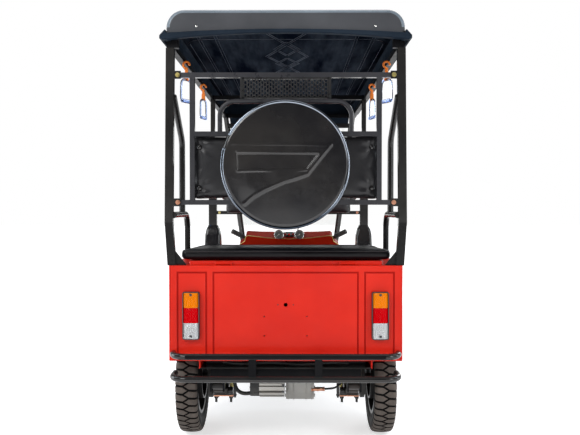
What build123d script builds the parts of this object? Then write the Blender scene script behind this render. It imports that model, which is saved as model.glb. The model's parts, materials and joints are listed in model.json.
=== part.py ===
from build123d import *
import os
from math import cos, radians, sin, sqrt, tan

os.makedirs("parts", exist_ok=True)

# Three-wheeled passenger rickshaw. Millimetres, +X right, +Y forward, +Z up.
# Origin: on the floor, under the centre of the overall box.

# ---------------------------------------------------------------- stations
REAR_Y = -1240.0            # outer face of the rear body panel
AXLE_Y = -910.0             # rear axle
WHEELBASE = 2050.0
FRONT_AXLE_Y = AXLE_Y + WHEELBASE
MID_Y = 85.0                # middle posts
DASH_Y = 790.0              # rider's side of the front cowl
POST_Y = REAR_Y + 25.0      # rear posts and backrest frame

# ---------------------------------------------------------------- wheels
TYRE_R = 240.0
TYRE_W = 92.0
RIM_R = 152.0               # bead seat
RIM_W = 76.0
BEAD_GAP = 0.3              # tyre bore over the rim
HALF_TRACK = 418.0
TYRE_GAP = 22.0             # tyre to the wheel well's inner wall
HUB_R = 34.0
AXLE_R = 15.0
SHAFT_GAP = 0.05            # shafts in hubs and bushes

# ---------------------------------------------------------------- body
BODY_X = HALF_TRACK + TYRE_W / 2 + 6    # half width outside the side panels
PANEL_T = 12.0              # whole wall of a formed body panel
BODY_Z0 = 386.0             # lower edge of the rear body
BODY_Z1 = 769.0             # top of the rear body
ARCH_R = 290.0              # wheel arch
WELL_X = HALF_TRACK - TYRE_W / 2 - TYRE_GAP    # inner wall of the wheel well
SEAT_FRONT_Y = -735.0
RAIL_X = 280.0              # chassis side rail centre
RAIL_W = 50.0
RAIL_Z0 = 310.0
RAIL_Z1 = 350.0
FLOOR_T = 12.0
FLOOR_Z1 = RAIL_Z1 + FLOOR_T

# ---------------------------------------------------------------- cage
TUBE = 25.0                 # square tube of posts and rails
BAR = 20.0                  # square tube of the backrest frames
POST_X = 463.0
POST_SHOULDER = 8.0         # extra width of the rear posts on their outer side
ROOF_RAIL_Z = 1655.0        # centre of the roof side rails
ROOF_X = 476.0              # half width of the roof sides
LIP_X = 500.0               # half width over the flared lip
LIP_Z0 = 1668.0
ROOF_Z1 = 1790.0
ROOF_Y0 = REAR_Y - 10.0
ROOF_Y1 = 950.0

# ---------------------------------------------------------------- spare wheel
COVER_R = 246.0
COVER_Y0 = REAR_Y - 147.0
COVER_DEPTH = 122.0
COVER_T = 3.0
SPARE_Z = 1164.0

# ---------------------------------------------------------------- steering
RAKE = 27.0                 # steering axis leans back from upright
AXIS_Y = 1110.0             # where the axis passes wheel-centre height
TRAIL_OFFSET = FRONT_AXLE_Y - AXIS_Y
GUARD_R = 266.0             # outer radius of the front mudguard
GUARD_X = 62.0


def box(x0, x1, y0, y1, z0, z1):
    """Box between two corners."""
    part = Box(x1 - x0, y1 - y0, z1 - z0)
    return Pos((x0 + x1) / 2, (y0 + y1) / 2, (z0 + z1) / 2) * part


def rod(p, q, r):
    """Round bar from point p to point q."""
    p = Vector(*p)
    q = Vector(*q)
    plane = Plane(origin=p, z_dir=q - p)
    return extrude(plane * Circle(r), (q - p).length)


def bar(p, q, w, up=(0, 0, 1)):
    """Square bar from point p to point q."""
    p = Vector(*p)
    q = Vector(*q)
    side = (q - p).cross(Vector(*up))
    plane = Plane(origin=p, x_dir=side, z_dir=q - p)
    return extrude(plane * Rectangle(w, w), (q - p).length)


def tube(points, r, bend):
    """Round tube through points, corners rounded by bend."""
    path = FilletPolyline(*points, radius=bend)
    section = Plane(origin=path @ 0, z_dir=path % 0) * Circle(r)
    return sweep(section, path)


def wall(points, y0, y1):
    """Outline in X and Z, thick from y0 to y1."""
    face = make_face(Polyline(*points, close=True))
    return Pos(0, y1, 0) * extrude(Rot(90, 0, 0) * face, y1 - y0)


def side(points, x0, x1):
    """Outline in Y and Z, thick from x0 to x1."""
    face = make_face(Polyline(*points, close=True))
    turned = Plane(origin=(x0, 0, 0), x_dir=(0, 1, 0), z_dir=(1, 0, 0)) * face
    return extrude(turned, x1 - x0)


def disc(x0, x1, y, z, r):
    """Cylinder along X."""
    return rod((x0, y, z), (x1, y, z), r)


def both(part):
    """A piece and its mirror image across the centre plane."""
    return Compound(children=[part, mirror(part, Plane.YZ)])


def merge(*parts):
    """Fuse to one clean solid."""
    whole = parts[0]
    for part in parts[1:]:
        whole = whole + part
    return whole.clean()


def save(shape, name):
    export_step(shape, f"parts/{name}.step")


def axis_point(z):
    """Y of the steering axis at height z."""
    return AXIS_Y - (z - TYRE_R) * tan(radians(RAKE))


# ================================================================ chassis
RAIL_Y0 = REAR_Y + 30.0
RAIL_Y1 = 836.0
CROSS_Y = (-1190.0, -600.0, -250.0, 85.0, 450.0, 816.0)
FLOOR_X = 450.5             # out to the middle posts
NECK_Z0 = 560.0             # head tube, from and to
NECK_Z1 = 690.0
NECK_POST_Y = 812.0
NECK_R = 27.0
STEM_R = 15.0


def axis_bar(z0, z1, r):
    """Round bar along the steering axis."""
    return rod((0, axis_point(z0), z0), (0, axis_point(z1), z1), r)


rail = box(RAIL_X - RAIL_W / 2, RAIL_X + RAIL_W / 2, RAIL_Y0, RAIL_Y1, RAIL_Z0, RAIL_Z1)
frame = merge(rail, mirror(rail, Plane.YZ))
for y in CROSS_Y:
    cross_x = RAIL_X if y in (CROSS_Y[0], CROSS_Y[-1]) else FLOOR_X
    frame += box(-cross_x, cross_x, y - 20, y + 20, RAIL_Z0, RAIL_Z1)
for x in (-1, 1):
    for y in (AXLE_Y - 270, AXLE_Y + 270):
        frame += box(x * RAIL_X - 29, x * RAIL_X - 23, y - 22, y + 22, 250, RAIL_Z0)
        frame += box(x * RAIL_X + 23, x * RAIL_X + 29, y - 22, y + 22, 250, RAIL_Z0)
frame += box(-26, 26, NECK_POST_Y - 14, NECK_POST_Y + 22, RAIL_Z0, NECK_Z1 - 15)
frame += box(-10, 10, NECK_POST_Y, axis_point(640), 610, NECK_Z1 - 20)
frame += axis_bar(NECK_Z0, NECK_Z1, NECK_R)
frame -= axis_bar(NECK_Z0 - 30, NECK_Z1 + 30, STEM_R + SHAFT_GAP)
save(frame.clean(), "chassis_frame")

BULKHEAD_Z1 = 540.0
BULKHEAD_X = 430.0
BULKHEAD_T = 6.0
floor_pan = box(-FLOOR_X, FLOOR_X, SEAT_FRONT_Y, DASH_Y, RAIL_Z1, FLOOR_Z1)
for x in (-FLOOR_X, FLOOR_X):
    x0, x1 = sorted((x, x * WELL_X / FLOOR_X))
    floor_pan -= disc(x0 - 1, x1 + 1, AXLE_Y, TYRE_R, ARCH_R)
bulkhead = box(-BULKHEAD_X, BULKHEAD_X, DASH_Y, DASH_Y + BULKHEAD_T, RAIL_Z1, BULKHEAD_Z1)
save(merge(floor_pan, bulkhead), "floor_pan")

# ================================================================ rear body
# panel relief: x from, x to, z from, z to
RELIEF = (
    (-293.0, 293.0, 400.0, 745.0),
    (315.0, 437.0, 400.0, 745.0),
    (-437.0, -315.0, 400.0, 745.0),
)
LAMP_X = 378.0
LAMP_W = 67.5
LAMP_Z0 = 475.0
LAMP_Z1 = 665.0
PLATE_SCREW_X = 85.5
PLATE_SCREW_Z = (487.0, 565.0)
PLATE_SCREW_R = 3.0
CATCH_Z = 612.0
CATCH_R = 8.0

panel = box(-BODY_X, BODY_X, REAR_Y, REAR_Y + PANEL_T, BODY_Z0, BODY_Z1)
upright = panel.edges().filter_by(Axis.Z).sort_by(Axis.Y)[:2]
panel = fillet(upright, 10)
for x0, x1, z0, z1 in RELIEF:
    groove = box(x0, x1, REAR_Y - 1, REAR_Y + 2, z0, z1)
    groove -= box(x0 + 7, x1 - 7, REAR_Y - 2, REAR_Y + 3, z0 + 7, z1 - 7)
    panel -= groove
for x in (-PLATE_SCREW_X, PLATE_SCREW_X):
    for z in PLATE_SCREW_Z:
        panel -= rod((x, REAR_Y - 1, z), (x, REAR_Y + PANEL_T + 1, z), PLATE_SCREW_R)
panel -= rod((0, REAR_Y - 1, CATCH_Z), (0, REAR_Y + PANEL_T + 1, CATCH_Z), CATCH_R)
save(panel, "rear_panel")

SIDE_OUTLINE = (
    (REAR_Y + PANEL_T, BODY_Z0),
    (REAR_Y + PANEL_T, BODY_Z1),
    (SEAT_FRONT_Y, BODY_Z1),
    (-705.0, 480.0),
    (-640.0, 410.0),
    (-560.0, 400.0),
    (-560.0, RAIL_Z1),
    (-640.0, RAIL_Z1),
)
skirt = side(SIDE_OUTLINE, BODY_X - PANEL_T, BODY_X)
skirt -= disc(BODY_X - PANEL_T - 1, BODY_X + 1, AXLE_Y, TYRE_R, ARCH_R)
skirt = skirt.solids().sort_by(SortBy.VOLUME)[-1]
save(skirt, "side_panel_right")
save(mirror(skirt, Plane.YZ), "side_panel_left")

# seat box: front wall, top ring, bottom tray and both wheel wells
BOX_Y0 = REAR_Y + PANEL_T
BOX_T = 6.0
RING_Z0 = BODY_Z1 - 10.0
LID_HOLE = (-370.0, 370.0, -1165.0, -780.0)   # x from, x to, y from, y to
INNER_X = BODY_X - PANEL_T

ring = box(-INNER_X, INNER_X, BOX_Y0, SEAT_FRONT_Y, RING_Z0, BODY_Z1)
ring -= box(*LID_HOLE, RING_Z0 - 1, BODY_Z1 + 1)
front_wall = box(-INNER_X, INNER_X, SEAT_FRONT_Y - BOX_T, SEAT_FRONT_Y, FLOOR_Z1, RING_Z0)
tray = box(-WELL_X, WELL_X, BOX_Y0, SEAT_FRONT_Y, RAIL_Z1, RAIL_Z1 + BOX_T)
seat_box = merge(ring, front_wall, tray)
seat_box += box(-WELL_X, WELL_X, SEAT_FRONT_Y - BOX_T, SEAT_FRONT_Y, RAIL_Z1, FLOOR_Z1)
for x in (-1, 1):
    x0, x1 = sorted((x * WELL_X, x * INNER_X))
    seat_box -= disc(x0, x1, AXLE_Y, TYRE_R, ARCH_R)
    well = disc(x0, x1, AXLE_Y, TYRE_R, ARCH_R)
    well -= disc(x0 - 1, x1 + 1, AXLE_Y, TYRE_R, ARCH_R - BOX_T)
    keep = box(x0, x1, BOX_Y0, SEAT_FRONT_Y, BODY_Z0, RING_Z0)
    seat_box += well & keep
    x2, x3 = sorted((x * WELL_X, x * (WELL_X - BOX_T)))
    seat_box += box(x2, x3, BOX_Y0, SEAT_FRONT_Y, RAIL_Z1, RING_Z0)

HINGE_X = 253.0
HINGE_L = 60.0
HINGE_R = 6.0
HINGE_PIN_R = 2.5
HINGE_Y = -1209.0
HINGE_Z = 776.0
for x in (-HINGE_X, HINGE_X):
    for end in (-1, 1):
        a, b = sorted((x + end * (HINGE_L / 2 + 0.5), x + end * (HINGE_L / 2 + 6)))
        seat_box += box(a, b, HINGE_Y - 6, HINGE_Y + 6, BODY_Z1, HINGE_Z + 5)
    seat_box += disc(x - HINGE_L / 2 - 5, x + HINGE_L / 2 + 5, HINGE_Y, HINGE_Z, HINGE_PIN_R)
save(seat_box.clean(), "seat_box")

# battery block: x from, x to, y from, y to
BATTERY_X = WELL_X - BOX_T - 14
BATTERY = (-BATTERY_X, BATTERY_X, -1150.0, -790.0)
BATTERY_H = 240.0
CELL_GAP = 8.0
cells = []
for i in range(4):
    step = (BATTERY[1] - BATTERY[0] + CELL_GAP) / 4
    x0 = BATTERY[0] + i * step
    cells.append(
        box(x0, x0 + step - CELL_GAP, BATTERY[2], BATTERY[3],
            RAIL_Z1 + BOX_T, RAIL_Z1 + BOX_T + BATTERY_H)
    )
save(Compound(children=cells), "batteries")

# ================================================================ rear seat
LID_X = 394.0
LID_Z0 = BODY_Z1 + 0.5
LID_Z1 = 784.5
LID_Y0 = -1200.0
LID_Y1 = -728.0
CUSHION_X = 428.0
CUSHION_Z1 = 829.0

lid = box(-LID_X, LID_X, LID_Y0, LID_Y1, LID_Z0, LID_Z1)
lid = fillet(lid.edges().filter_by(Axis.Z), 12)
for x in (-HINGE_X, HINGE_X):
    lid += box(x - HINGE_L / 2, x + HINGE_L / 2, HINGE_Y, LID_Y0 + 2, HINGE_Z, HINGE_Z + 4)
    lid += disc(x - HINGE_L / 2, x + HINGE_L / 2, HINGE_Y, HINGE_Z, HINGE_R)
    lid -= disc(x - HINGE_L / 2 - 1, x + HINGE_L / 2 + 1, HINGE_Y, HINGE_Z, HINGE_PIN_R + SHAFT_GAP)
save(lid.clean(), "seat_lid")


def pad(x0, x1, y0, y1, z0, z1, corner, edge):
    """Cushion block: upright or flat corners rounded, rim softened."""
    block = box(x0, x1, y0, y1, z0, z1)
    axis = Axis.Z if (z1 - z0) < (y1 - y0) else Axis.Y
    block = fillet(block.edges().filter_by(axis), corner)
    rim = block.faces().sort_by(axis)[-1].edges()
    return fillet(rim, edge)


save(pad(-CUSHION_X, CUSHION_X, -1190, -722, LID_Z1, CUSHION_Z1, 45, 16), "rear_cushion")

# ================================================================ rear cage
POST_TOP = ROOF_RAIL_Z - TUBE / 2
HALF = TUBE / 2
POST_KINK = ((456.0, BODY_Z1), (467.0, 942.0), (460.0, POST_TOP))
TAB_Z = (1023.0, 1534.0)
TAB_GAP = 0.3               # post to the end of a frame bar
TAB_REACH = 30.0
TAB_T = 4.0

inner = [(x - HALF, z) for x, z in POST_KINK]
outer = [(x + HALF + POST_SHOULDER, z) for x, z in reversed(POST_KINK)]
post = wall(inner + outer, POST_Y - HALF, POST_Y + HALF)
foot = [(456.0, BODY_Z1), (400.0, BODY_Z1), (456.0, BODY_Z1 + 70)]
post += wall(foot, POST_Y - 2, POST_Y + 2)
for z in TAB_Z:
    post += box(POST_X - HALF - TAB_REACH, POST_X - 5, POST_Y - HALF, POST_Y - BAR / 2, z - 16, z + 16)

FRAME_X = 376.0
FRAME_REACH = POST_X - HALF - 10
LOW_BAR_Z = 1023.0
MID_BAR_Z = 1298.0
TOP_BAR_Z = 1534.0
HOOP_X = 265.0
HOOP_Z1 = 1440.0
HOOP_BEND = 60.0
GRILLE_X = 175.0
GRILLE_Z = (HOOP_Z1 + 0.5, TOP_BAR_Z - BAR / 2)
BAR_Y0 = POST_Y - BAR / 2
BAR_Y1 = POST_Y + BAR / 2
CARRIER_X = 70.0
HUB_BOSS_R = 42.0

back = box(-FRAME_REACH, FRAME_REACH, BAR_Y0, BAR_Y1, LOW_BAR_Z - 10, LOW_BAR_Z + 10)
back += box(-FRAME_REACH, FRAME_REACH, BAR_Y0, BAR_Y1, TOP_BAR_Z - 10, TOP_BAR_Z + 10)
back += box(-FRAME_X, FRAME_X, BAR_Y0, BAR_Y1, MID_BAR_Z - 10, MID_BAR_Z + 10)
for x in (-FRAME_X, FRAME_X):
    back += box(x - 10, x + 10, BAR_Y0, BAR_Y1, LOW_BAR_Z, TOP_BAR_Z)
for x in (-CARRIER_X, CARRIER_X):
    back += box(x - 10, x + 10, BAR_Y0, BAR_Y1, LOW_BAR_Z, MID_BAR_Z)
hoop_path = [
    (-HOOP_X, POST_Y, MID_BAR_Z), (-HOOP_X, POST_Y, HOOP_Z1 - 10),
    (HOOP_X, POST_Y, HOOP_Z1 - 10), (HOOP_X, POST_Y, MID_BAR_Z),
]
back += tube(hoop_path, 10, HOOP_BEND)
back += box(-CARRIER_X, CARRIER_X, BAR_Y0 - 4, BAR_Y0, SPARE_Z - 60, SPARE_Z + 60)
SPARE_Y = COVER_Y0 + COVER_T + 7.2 + TYRE_W / 2
HUB_FACE_Y = SPARE_Y + 16
back += rod((0, BAR_Y0, SPARE_Z), (0, HUB_FACE_Y, SPARE_Z), HUB_BOSS_R)
save(back.clean(), "backrest_frame")

# open lattice of crossing strips in a flat frame
STRIP = 3.0
PITCH = 24.0
GRILLE_Y = POST_Y
grille_z = sum(GRILLE_Z) / 2
lattice = None
reach = GRILLE_X + 60
count = int(2 * reach / PITCH)
for i in range(count + 1):
    for lean in (-32, 32):
        strip = Box(STRIP, 2.4, 130)
        strip = Pos(-reach + i * PITCH, GRILLE_Y, grille_z) * Rot(0, lean, 0) * strip
        lattice = strip if lattice is None else lattice + strip
lattice &= box(-GRILLE_X, GRILLE_X, GRILLE_Y - 2, GRILLE_Y + 2, *GRILLE_Z)
rim = box(-GRILLE_X, GRILLE_X, GRILLE_Y - 4, GRILLE_Y + 4, *GRILLE_Z)
rim -= box(-GRILLE_X + 8, GRILLE_X - 8, GRILLE_Y - 5, GRILLE_Y + 5, GRILLE_Z[0] + 6, GRILLE_Z[1] - 6)
grille = rim + lattice
for x in (-GRILLE_X - 8, GRILLE_X):
    grille += box(x, x + 8, GRILLE_Y - 8, GRILLE_Y + 8, HOOP_Z1, TOP_BAR_Z - 10)
save(grille.clean(), "mesh_grille")

PAD_X = 368.0
PAD_Z0 = 1036.0
PAD_Z1 = 1286.0
PAD_Y0 = BAR_Y1 + 0.5
PAD_Y1 = PAD_Y0 + 80.0
back_pad = pad(-PAD_X, PAD_X, PAD_Y0, PAD_Y1, PAD_Z0, PAD_Z1, 30, 22)
save(back_pad, "backrest_pad")

# grab tube and armrest on each side, ahead of the rear post
GRAB_R = 13.0
SIDE_X = POST_X - 11
ARM_Z = 972.0
ARM_Y = -870.0
GRAB_Y = -1012.0
grab = tube([(SIDE_X, POST_Y, 1450), (SIDE_X, GRAB_Y, 1290), (SIDE_X, GRAB_Y, ARM_Z + 4)], GRAB_R, 60)
arm = tube([(SIDE_X, POST_Y, ARM_Z), (SIDE_X, ARM_Y, ARM_Z), (SIDE_X, ARM_Y, BODY_Z1)], GRAB_R, 70)
post = merge(post, grab, arm)
save(both(post), "rear_posts")

# ================================================================ spare wheel


def tyre_face(depth):
    """Half section of a tyre, radius against distance from its middle plane."""
    half = TYRE_W / 2
    bead = RIM_R + BEAD_GAP
    seat = RIM_W / 2 - 3.3
    line = Polyline((bead + 10, -seat), (bead, -seat), (bead, seat), (bead + 10, seat))
    up = ThreePointArc((bead + 10, seat), (196, half), (depth - 12, half - 4))
    crown = ThreePointArc((depth - 12, half - 4), (depth, 0), (depth - 12, -half + 4))
    down = ThreePointArc((depth - 12, -half + 4), (196, -half), (bead + 10, -seat))
    return make_face(line + up + crown + down)


def wheel_section(face):
    """Turn a radius-and-offset face into a ring about X."""
    return Rot(0, 90, 0) * revolve(Plane.XZ * face, Axis.Z)


def ring_about_x(r0, r1, x0, x1):
    """Flat ring about the X axis through the origin."""
    return disc(x0, x1, 0, 0, r1) - disc(x0 - 1, x1 + 1, 0, 0, r0)


def rim_body(drum):
    """Pressed steel wheel about X; +X is its outer side."""
    barrel = ring_about_x(RIM_R - 5, RIM_R, -RIM_W / 2 + 3, RIM_W / 2 - 3)
    for a, b in ((-RIM_W / 2 - 2, -RIM_W / 2 + 3), (RIM_W / 2 - 3, RIM_W / 2 + 2)):
        barrel += ring_about_x(RIM_R - 5, RIM_R + 9, a, b)
    whole = barrel + ring_about_x(HUB_R - 1, RIM_R - 4, 6, 11)
    whole += ring_about_x(AXLE_R + SHAFT_GAP, HUB_R, -28, 38)
    if drum:
        whole += ring_about_x(88, 96, -50, 8)
    for i in range(8):
        a = radians(45 * i)
        y = 118 * cos(a)
        z = 118 * sin(a)
        whole -= disc(0, 20, y, z, 14)
    return whole.clean()


tyre = wheel_section(tyre_face(TYRE_R))


def place_wheel(part, x, y, z, outward=1):
    """Set a wheel piece down with its outer side to +X or -X."""
    turned = part if outward > 0 else mirror(part, Plane.YZ)
    return Pos(x, y, z) * turned


rear_rim = rim_body(drum=True)
save(place_wheel(tyre, HALF_TRACK, AXLE_Y, TYRE_R), "rear_tyre_right")
save(place_wheel(tyre, -HALF_TRACK, AXLE_Y, TYRE_R), "rear_tyre_left")
save(place_wheel(rear_rim, HALF_TRACK, AXLE_Y, TYRE_R), "rear_rim_right")
save(place_wheel(rear_rim, -HALF_TRACK, AXLE_Y, TYRE_R, -1), "rear_rim_left")
save(place_wheel(tyre, 0, FRONT_AXLE_Y, TYRE_R), "front_tyre")
save(place_wheel(rim_body(drum=False), 0, FRONT_AXLE_Y, TYRE_R), "front_rim")

# spare wheel hangs upright across the back, under a dished round cover
spare_tyre = Pos(0, SPARE_Y, SPARE_Z) * (Rot(0, 0, -90) * tyre)
spare_disc = ring_about_x(HUB_BOSS_R - 20, RIM_R - 0.4, -16, -11)
spare_disc += ring_about_x(RIM_R - 6, RIM_R - 0.4, -RIM_W / 2, RIM_W / 2)
spare_disc = Pos(0, SPARE_Y, SPARE_Z) * (Rot(0, 0, -90) * spare_disc)
save(Compound(children=[spare_tyre, spare_disc]), "spare_wheel")

COVER_EDGE = 34.0
DISH = [
    (0, 0), (COVER_R - COVER_EDGE, 6), (COVER_R, COVER_EDGE + 6), (COVER_R, COVER_DEPTH),
    (COVER_R - COVER_T, COVER_DEPTH), (COVER_R - COVER_T, COVER_EDGE + 6),
    (COVER_R - COVER_EDGE, 6 + COVER_T), (0, COVER_T),
]
line = Polyline(*DISH[:2])
curve = ThreePointArc(DISH[1], (COVER_R - 9, 17), DISH[2])
back_line = Polyline(DISH[2], DISH[3], DISH[4], DISH[5])
inner_curve = ThreePointArc(DISH[5], (COVER_R - 11.5, 19), DISH[6])
close = Polyline(DISH[6], DISH[7], DISH[0])
dish_face = make_face(line + curve + back_line + inner_curve + close)
cover = Pos(0, COVER_Y0, SPARE_Z) * revolve(Plane.XY * dish_face, Axis.Y)
# raised blade across the cover and the sunk panel in it: x and height over the wheel's centre
BLADE = ((-205.0, 81.0), (175.0, 76.0), (85.0, -36.0), (-5.0, -64.0), (-75.0, -95.0),
         (-150.0, -140.0), (-205.0, -90.0))
SUNK = ((-182.0, 44.0), (125.0, 41.0), (82.0, -15.0), (-179.0, -19.0))
BLADE_T = 3.0
SINK = 2.5
blade = wall([(x, SPARE_Z + z) for x, z in BLADE], COVER_Y0 - BLADE_T, COVER_Y0 + 7)
blade -= wall([(x, SPARE_Z + z) for x, z in SUNK], COVER_Y0 - BLADE_T - 1, COVER_Y0 - BLADE_T + SINK)
save(merge(cover, blade), "spare_cover")

# ================================================================ middle of the cabin
MID_BAR_LOW = 969.0
MID_BAR_HIGH = 1240.0
MID_SEAT_Z1 = 700.0
MID_SEAT_Y0 = -330.0
MID_BOX_X = 440.0
MID_BOX_Z1 = 640.0
DRIVER_Y1 = 470.0
DRIVER_BOX_Z1 = 560.0
DRIVER_SEAT_Z1 = 640.0
DRIVER_X = 300.0
BOOT_X = 450.0
# shape of the boots round the middle posts: height, width, depth
BOOT = ((760.0, 94.0, 110.0), (838.0, 90.0, 88.0), (872.0, 76.0, 72.0), (894.0, 54.0, 48.0))
BOOT_CORNER = 14.0
BOOT_Z0 = BOOT[0][0]
BOOT_Z1 = BOOT[-1][0]
SLEEVE_X = 428.0            # inner side of the middle post where it is doubled
SLEEVE_Z1 = 1262.0
UPPER_X = 451.0             # centre of the middle post over its doubled part

MID_POST = (
    (POST_X - HALF, RAIL_Z0), (POST_X - HALF, BOOT_Z0), (SLEEVE_X, BOOT_Z0), (SLEEVE_X, SLEEVE_Z1 - 12),
    (UPPER_X - HALF, SLEEVE_Z1), (UPPER_X - HALF, POST_TOP), (UPPER_X + HALF, POST_TOP),
    (UPPER_X + HALF, SLEEVE_Z1), (POST_X + HALF, SLEEVE_Z1 - 12), (POST_X + HALF, RAIL_Z0),
)
mid = merge(
    wall(MID_POST, MID_Y - HALF, MID_Y + HALF),
    box(0, POST_X, MID_Y - 10, MID_Y + 10, MID_BAR_LOW - 10, MID_BAR_LOW + 10),
    box(0, POST_X, MID_Y - 10, MID_Y + 10, MID_BAR_HIGH - 10, MID_BAR_HIGH + 10),
    box(340, 360, MID_Y - 10, MID_Y + 10, MID_BAR_LOW, MID_BAR_HIGH),
)
mid = merge(mid, mirror(mid, Plane.YZ))
save(mid, "mid_frame")

boot = loft([Pos(BOOT_X, MID_Y, z) * RectangleRounded(w, d, BOOT_CORNER) for z, w, d in BOOT], ruled=True)
boot -= box(SLEEVE_X - 0.3, POST_X + HALF + 0.3, MID_Y - HALF - 0.3, MID_Y + HALF + 0.3, BOOT_Z0 - 9, BOOT_Z1 + 9)
save(both(boot), "post_boots")

MID_SIDE = (
    (MID_SEAT_Y0, FLOOR_Z1), (MID_SEAT_Y0, MID_BOX_Z1), (MID_Y - 75, MID_BOX_Z1),
    (MID_Y - BOOT[0][2] / 2 - 7, BOOT_Z0), (MID_Y + BOOT[0][2] / 2 + 7, BOOT_Z0), (MID_Y + 85, DRIVER_BOX_Z1),
    (DRIVER_Y1, DRIVER_BOX_Z1), (DRIVER_Y1 + 40, FLOOR_Z1),
)
mid_side = side(MID_SIDE, POST_X - HALF - PANEL_T, POST_X - HALF)
mid_top = box(0, POST_X - HALF, MID_SEAT_Y0, MID_Y - HALF - 20, MID_BOX_Z1 - 8, MID_BOX_Z1)
mid_wall = box(0, POST_X - HALF, MID_SEAT_Y0, MID_SEAT_Y0 + 8, FLOOR_Z1, MID_BOX_Z1)
mid_rear = box(0, POST_X - HALF, MID_Y - HALF - 28, MID_Y - HALF - 20, FLOOR_Z1, BOOT_Z0)
driver_top = box(0, POST_X - HALF, MID_Y - HALF - 20, DRIVER_Y1, DRIVER_BOX_Z1 - 8, DRIVER_BOX_Z1)
driver_wall = box(0, POST_X - HALF, DRIVER_Y1 - 8, DRIVER_Y1, FLOOR_Z1, DRIVER_BOX_Z1)
bench = merge(mid_side, mid_top, mid_wall, mid_rear, driver_top, driver_wall)
bench = merge(bench, mirror(bench, Plane.YZ))
save(bench, "mid_seat_box")

MID_CUSHION_X = 420.0
mid_cushion = pad(-MID_CUSHION_X, MID_CUSHION_X, MID_SEAT_Y0 - 8, MID_Y - 90, MID_BOX_Z1 + 0.5, MID_SEAT_Z1, 40, 18)
save(mid_cushion, "mid_cushion")
mid_pad = box(-PAD_X, PAD_X, MID_Y - 80, MID_Y - 10.5, MID_BAR_LOW - 30, MID_BAR_HIGH + 20)
mid_pad = fillet(mid_pad.edges().filter_by(Axis.Y), 30)
mid_pad = fillet(mid_pad.faces().sort_by(Axis.Y)[0].edges(), 20)
save(mid_pad, "mid_backrest_pad")
driver_pad = pad(-DRIVER_X, DRIVER_X, MID_Y + 40, DRIVER_Y1 + 10, DRIVER_BOX_Z1 + 0.5, DRIVER_SEAT_Z1, 50, 18)
save(driver_pad, "driver_seat")

# ================================================================ roof
RAIL_HALF = TUBE / 2
CROSS_RAIL_Y = (MID_Y, ROOF_Y1 - 50)
SHELL_T = 10.0
CROWN_R = 72.0
REAR_ROUND = 18.0
FRONT_ROUND = 42.0
LIP_Y0 = REAR_Y - 24.0
SIDE_LIP_Z = 1672.0
REAR_LIP_Z = 1694.0         # under edge of the rear lip, at its middle
REAR_LIP_END_Z = 1666.0
CEILING_T = 4.0
CEILING_DROP = 34.0         # ceiling under the shell's inner face
CEILING_Z = ROOF_Z1 - SHELL_T - CEILING_DROP - CEILING_T
HEADER_X = 460.0
HEADER_W = 30.0
RIB_H = 3.0
HEADER_Z1 = CEILING_Z - RIB_H - 1

rails = None
for x in (-POST_X, POST_X):
    rail = box(x - RAIL_HALF, x + RAIL_HALF, POST_Y - RAIL_HALF, ROOF_Y1 - 40,
               POST_TOP, POST_TOP + TUBE)
    rails = rail if rails is None else rails + rail
for y in CROSS_RAIL_Y:
    rails += box(-POST_X, POST_X, y - RAIL_HALF, y + RAIL_HALF, POST_TOP, POST_TOP + TUBE)
# the rear cross rail is raised on two stubs, close under the ceiling
rails += box(-HEADER_X, HEADER_X, POST_Y - RAIL_HALF, POST_Y + RAIL_HALF, HEADER_Z1 - TUBE, HEADER_Z1)
for x in (-HEADER_X, HEADER_X - HEADER_W):
    rails += box(x, x + HEADER_W, POST_Y - RAIL_HALF, POST_Y + RAIL_HALF, POST_TOP, HEADER_Z1)
save(rails.clean(), "roof_rails")


def roof_block(inset):
    """Flat-topped block with rounded shoulders and ends; inset moves every face inward."""
    block = box(-ROOF_X + inset, ROOF_X - inset, ROOF_Y0 + inset, ROOF_Y1 - inset, LIP_Z0, ROOF_Z1 - inset)
    shoulders = block.edges().filter_by(Axis.Y).group_by(Axis.Z)[-1]
    block = fillet(shoulders, CROWN_R - inset)
    rear = block.faces().filter_by(Axis.Y).sort_by(Axis.Y)[0].edges().sort_by(Axis.Z)[1:]
    block = fillet(rear, REAR_ROUND - inset)
    front = block.faces().filter_by(Axis.Y).sort_by(Axis.Y)[-1].edges().sort_by(Axis.Z)[1:]
    return fillet(front, FRONT_ROUND - inset)


shell = roof_block(0)
hollow = roof_block(SHELL_T)
shell -= hollow
SIDE_LIP = (
    (ROOF_X - 0.2, 1706.0), (ROOF_X + 4, 1706.0), (LIP_X, SIDE_LIP_Z + 12), (LIP_X, SIDE_LIP_Z),
    (LIP_X - 6, SIDE_LIP_Z), (ROOF_X + 1, 1690.0), (ROOF_X - 0.2, 1690.0),
)
lip = wall(SIDE_LIP, LIP_Y0 + 4, ROOF_Y1)
shell += lip + mirror(lip, Plane.YZ)
LIP_FACE = Plane(origin=(0, LIP_Y0, 0), x_dir=(1, 0, 0), z_dir=(0, -1, 0))
low = ThreePointArc((LIP_X - 12, REAR_LIP_END_Z), (0, REAR_LIP_Z), (-LIP_X + 12, REAR_LIP_END_Z))
left_tip = Polyline((-LIP_X + 12, REAR_LIP_END_Z), (-LIP_X, 1675), (-ROOF_X - 2, 1694))
high = ThreePointArc((-ROOF_X - 2, 1694), (0, 1709), (ROOF_X + 2, 1694))
right_tip = Polyline((ROOF_X + 2, 1694), (LIP_X, 1675), (LIP_X - 12, REAR_LIP_END_Z))
rear_lip = extrude(LIP_FACE * make_face(low + left_tip + high + right_tip), -22)
lip = fillet(rear_lip.faces().sort_by(Axis.Y)[0].edges().filter_by(GeomType.CIRCLE), 4)
inner_x = ROOF_X - SHELL_T
lip -= box(-inner_x, inner_x, ROOF_Y0 + SHELL_T, ROOF_Y0 + 100, REAR_LIP_END_Z - 5, 1760)
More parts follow.
